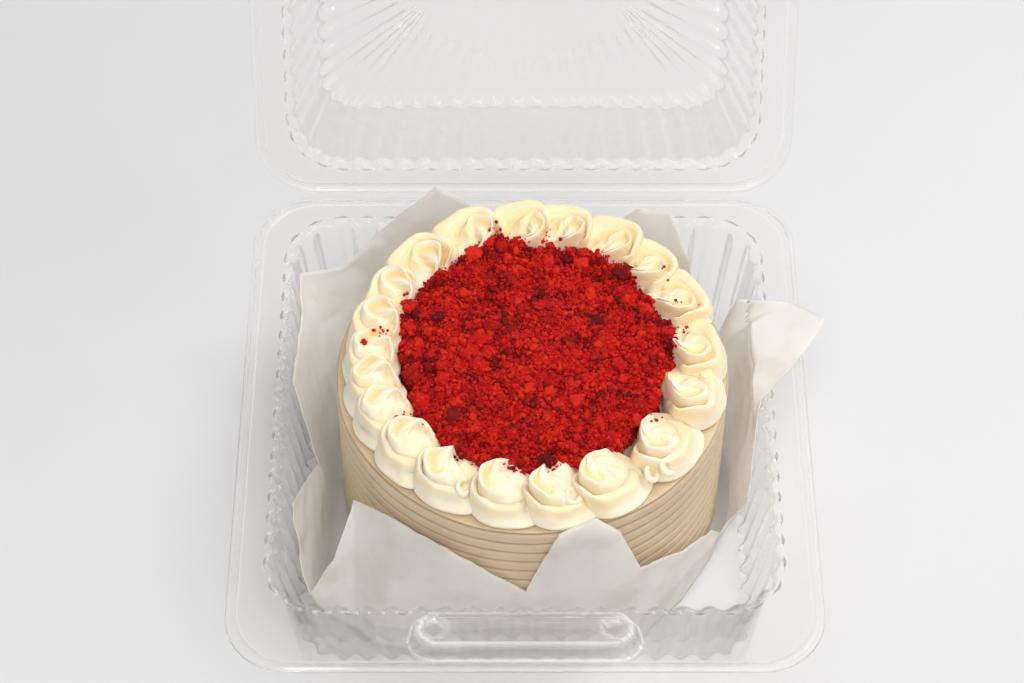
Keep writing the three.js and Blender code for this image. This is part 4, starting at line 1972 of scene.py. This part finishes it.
@dataclass
class PaperLiner:
    """The parchment under the cake, folded up between the cake and the walls.

    edge holds the corners and dips of its edge: x, y, z and how far out the sheet leaves the floor,
    in millimetres. dent and creases hold the size and the depth of its crumples.
    """

    edge: tuple[tuple[float, float, float, float], ...] = (
        (0.4, -87, 43, 80), (12.8, -86, 83, 81), (27, -83.5, 89, 84), (36, -83, 80, 86),
        (45, -81, 52, 87), (63, -62, 35, 83), (77, -42, 20, 82), (80, -35, 8, 81),
        (91, -34, 30, 83), (93, -16, 50, 83), (96.5, -4, 58, 83), (108, 8, 62, 83), (123, 28, 70, 83),
        (110, 44, 61, 84), (89, 48, 58, 86), (80, 52, 18, 88), (70, 68, 60, 90),
        (61, 77, 80, 92), (48, 79, 80, 90), (25, 85, 50, 86), (-5, 85, 46, 86),
        (-23, 81.5, 80, 86), (-37, 88, 85, 88), (-52, 84.5, 70, 92), (-66, 82, 55, 98),
        (-77, 72, 50, 100), (-94, 67, 52, 98), (-93.5, 40, 46, 88), (-95, 10, 52, 83),
        (-88, -6, 38, 83), (-84, -18, 33, 84), (-92.5, -50, 50, 92), (-90, -62, 30, 98),
        (-86, -73, 20, 104), (-75, -70, 42, 102), (-67, -57, 63, 100), (-48, -70, 65, 100),
        (-28.6, -82, 66, 88), (-13.4, -86, 55, 82),
    )  # fmt: skip
    z: float = 1.3 * MM
    rim_x: float = 93.4 * MM
    rim_z: float = 55.5 * MM
    foot_step: float = 4.0
    thickness: float = 0.25 * MM
    cell: float = 2.2 * MM
    floor_rows: int = 10
    up_rows: int = 26
    dent: tuple[float, float] = (28 * MM, 1.2 * MM)
    creases: tuple[tuple[float, float], ...] = ((19 * MM, 1.9 * MM), (8 * MM, 0.8 * MM))
    flap_keep: float = 0.02
    flap_way: tuple[float, float, float] = (0.983, 0.0, 0.186)

    def columns(self) -> np.ndarray:
        """Foot, fold and edge of each crease, as an array of columns by three by x, y, z."""
        columns = []
        turned = -TURN
        for x, y, z, foot_radius in self.edge:
            edge = np.array([x, y, z]) * MM
            azimuth = math.atan2(edge[1] - AXIS.y, edge[0] - AXIS.x)
            if azimuth < turned - TURN / 2:
                azimuth += TURN
            turned = max(azimuth, turned + math.radians(self.foot_step))
            foot = AXIS.places(np.float64(turned), np.float64(foot_radius * MM), np.float64(self.z))
            fold = (foot + edge) / 2
            if edge[0] > self.rim_x:
                fold[0], fold[2] = self.rim_x, self.rim_z
            columns.append([foot, fold, edge])
        return np.array(columns)

    def spans(self) -> np.ndarray:
        """The creases with evenly spaced columns between them."""
        columns = self.columns()
        spans = []
        for here, ahead in zip(columns, np.roll(columns, -1, axis=0)):
            length = max(np.linalg.norm(ahead[0] - here[0]), np.linalg.norm(ahead[2] - here[2]))
            steps = max(round(length / self.cell), 2)
            spans += [here + (ahead - here) * (s / steps) for s in range(steps)]
        return np.array(spans)

    def crumpled(self, points: np.ndarray, up: np.ndarray) -> np.ndarray:
        """Pushes the upright part into soft dents and sharp creases.

        Args:
            points: Places of the flat folds.
            up: How far up the sheet each of them lies, 0 on the floor and 1 at its edge.

        Returns:
            The crumpled places.
        """
        outward = points - (AXIS.x, AXIS.y, 0)
        outward[:, 2] = 0
        outward /= np.maximum(np.linalg.norm(outward, axis=1), 1e-6)[:, None]
        push = self.dent[1] * roughly(points, self.dent[0], 5)
        for k, (wave, depth) in enumerate(self.creases):
            push -= depth * np.abs(roughly(points, wave, 6 + k))
        return points + outward * (push * smoothstep(up * 2))[:, None]

    def piece(
        self, name: str, points: np.ndarray, faces: Sequence[Sequence[int]], material: bpy.types.Material
    ) -> bpy.types.Object:
        """One closed part of the liner, with its thickness.

        Args:
            name: Name of the piece.
            points: Places of the whole liner.
            faces: The part's own faces.
            material: The parchment.

        Returns:
            The part, riding on the box.
        """
        used = sorted({int(i) for f in faces for i in f})
        number = {old: new for new, old in enumerate(used)}
        obj = new_mesh(name, points[used], [[number[int(i)] for i in f] for f in faces])
        obj.data.materials.append(material)
        obj = walled(obj, self.thickness, 0)
        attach(obj, Body.BOX.value)
        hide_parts("paper")
        return obj

    def build(self, material: bpy.types.Material) -> list[bpy.types.Object]:
        """Makes the liner, and apart from it the flap over the rim.

        Args:
            material: The parchment.

        Returns:
            The liner and its flap.
        """
        spans = self.spans()
        count = len(spans)
        centre = np.array([AXIS.x, AXIS.y, self.z])
        inward = spans[:, 0] - centre
        rows = [centre + inward * (r / self.floor_rows) for r in range(1, self.floor_rows + 1)]
        for r in range(1, self.up_rows + 1):
            share = 2 * r / self.up_rows
            low = 0 if share <= 1 else 1
            rows.append(spans[:, low] + (spans[:, low + 1] - spans[:, low]) * (share - low))
        points = np.concatenate([[centre], *rows])
        quads = grid_faces(len(rows), count, 1)
        beyond = points[quads][:, :, 0].mean(axis=1) > self.rim_x
        up = np.arange(1 - self.floor_rows, self.up_rows + 1) / self.up_rows
        points = self.crumpled(points, np.concatenate([[0.0], np.repeat(np.maximum(up, 0), count)]))
        middle = fan_faces(np.arange(1, count + 1), 0)
        liner = self.piece("paper_liner", points, [*middle, *quads[~beyond]], material)
        flap = self.piece("paper_flap", points, quads[beyond], material)
        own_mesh(flap)
        return [liner, flap]


# Studio


@dataclass(frozen=True)
class Softbox:
    """A square studio lamp that faces the cake."""

    name: str
    place: tuple[float, float, float]
    size: float
    power: float
    colour: tuple[float, float, float] = (1.0, 1.0, 1.0)
    only_shine: bool = False

    def build(self, target: Vector) -> None:
        """Hangs the lamp and turns it to the target."""
        light = bpy.data.lights.new(self.name, "AREA")
        light.energy, light.size, light.color = self.power, self.size, self.colour
        obj = bpy.data.objects.new(self.name, light)
        bpy.context.scene.collection.objects.link(obj)
        obj.location = self.place
        obj.visible_diffuse = not self.only_shine
        obj.rotation_euler = (target - Vector(self.place)).to_track_quat("-Z", "Y").to_euler()


@dataclass(frozen=True)
class Studio:
    """Camera, table and lamps."""

    eye: tuple[float, float, float] = (-4.9 * MM, -637.6 * MM, 906.6 * MM)
    tilt: float = 38.0
    lens: float = 92.46
    sensor: float = 36.0
    clip: tuple[float, float] = (0.01, 20.0)
    ambient: float = 0.45
    seen: float = 1.0
    table: float = -0.4 * MM
    half_table: float = 3.0
    target: tuple[float, float, float] = (0.0, 0.0, 0.05)
    lamps: tuple[Softbox, ...] = (
        Softbox("key", (0.8, 0.3, 1.45), 0.9, 12.5, (1.0, 0.99, 0.97)),
        Softbox("front", (0.1, -0.85, 1.45), 1.1, 12.2, (1.0, 0.99, 0.98)),
        Softbox("glint", (-0.25, -1.15, 1.35), 0.14, 7.0, only_shine=True),
    )

    def build(self) -> None:
        """Sets the camera, the pale table and soft light."""
        camera = bpy.data.cameras.new("camera")
        camera.lens, camera.sensor_width = self.lens, self.sensor
        camera.clip_start, camera.clip_end = self.clip
        obj = bpy.data.objects.new("camera", camera)
        obj.location = self.eye
        obj.rotation_euler = Euler((math.radians(self.tilt), 0, 0))
        bpy.context.scene.collection.objects.link(obj)
        bpy.context.scene.camera = obj

        half = self.half_table
        square = ((-half, -half), (half, -half), (half, half), (-half, half))
        corners = [(x, y, self.table) for x, y in square]
        floor = new_mesh("table", np.array(corners), [(0, 1, 2, 3)])
        floor.data.materials.append(StudioFloor().material())

        for lamp in self.lamps:
            lamp.build(Vector(self.target))
        world = bpy.data.worlds.new("studio")
        world.use_nodes = True
        background = world.node_tree.nodes["Background"]
        background.inputs["Color"].default_value = (1.0, 1.0, 1.0, 1)
        sky = Tree(world.node_tree)
        diffuse = sky.add("ShaderNodeLightPath").outputs["Is Diffuse Ray"]
        strength = sky.add("ShaderNodeMapRange", {0: diffuse, 3: self.seen, 4: self.ambient})
        sky.link(strength.outputs[0], background.inputs["Strength"])
        bpy.context.scene.world = world
        bpy.context.scene.view_settings.view_transform = "Standard"


def main() -> None:
    """Builds the pieces in order."""
    logging.basicConfig(level=logging.INFO, format="%(name)s: %(message)s")
    Studio().build()
    plastic, paper = ClearPlastic().material(), Parchment().material()
    border_cream = Buttercream().material()
    # painted shade: the side's cream is the border's cream made darker, as shade on the upright side, and
    # its hollow colour paints the comb's grooves dark brown
    side_cream = Buttercream(
        name="combed_cream", crest=rgba(213, 191, 160), patch=rgba(206, 184, 153), hollow=rgba(155, 125, 84)
    ).material()
    crumb = VelvetCrumb().material()
    flutes = flute_tree()
    made = [Tray().build(flutes, plastic), Lid().build(flutes, plastic)]
    made += PaperLiner().build(paper)
    made.append(CakeBody().build(side_cream))
    border = PipedBorder().build(border_cream)
    made += border + CrumbHeap().build(crumb, border)
    for piece in made:
        piece.data.calc_loop_triangles()
        log.info("%s: %d triangles", piece.name, len(piece.data.loop_triangles))
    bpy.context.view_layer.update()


if __name__ == "__main__":
    main()
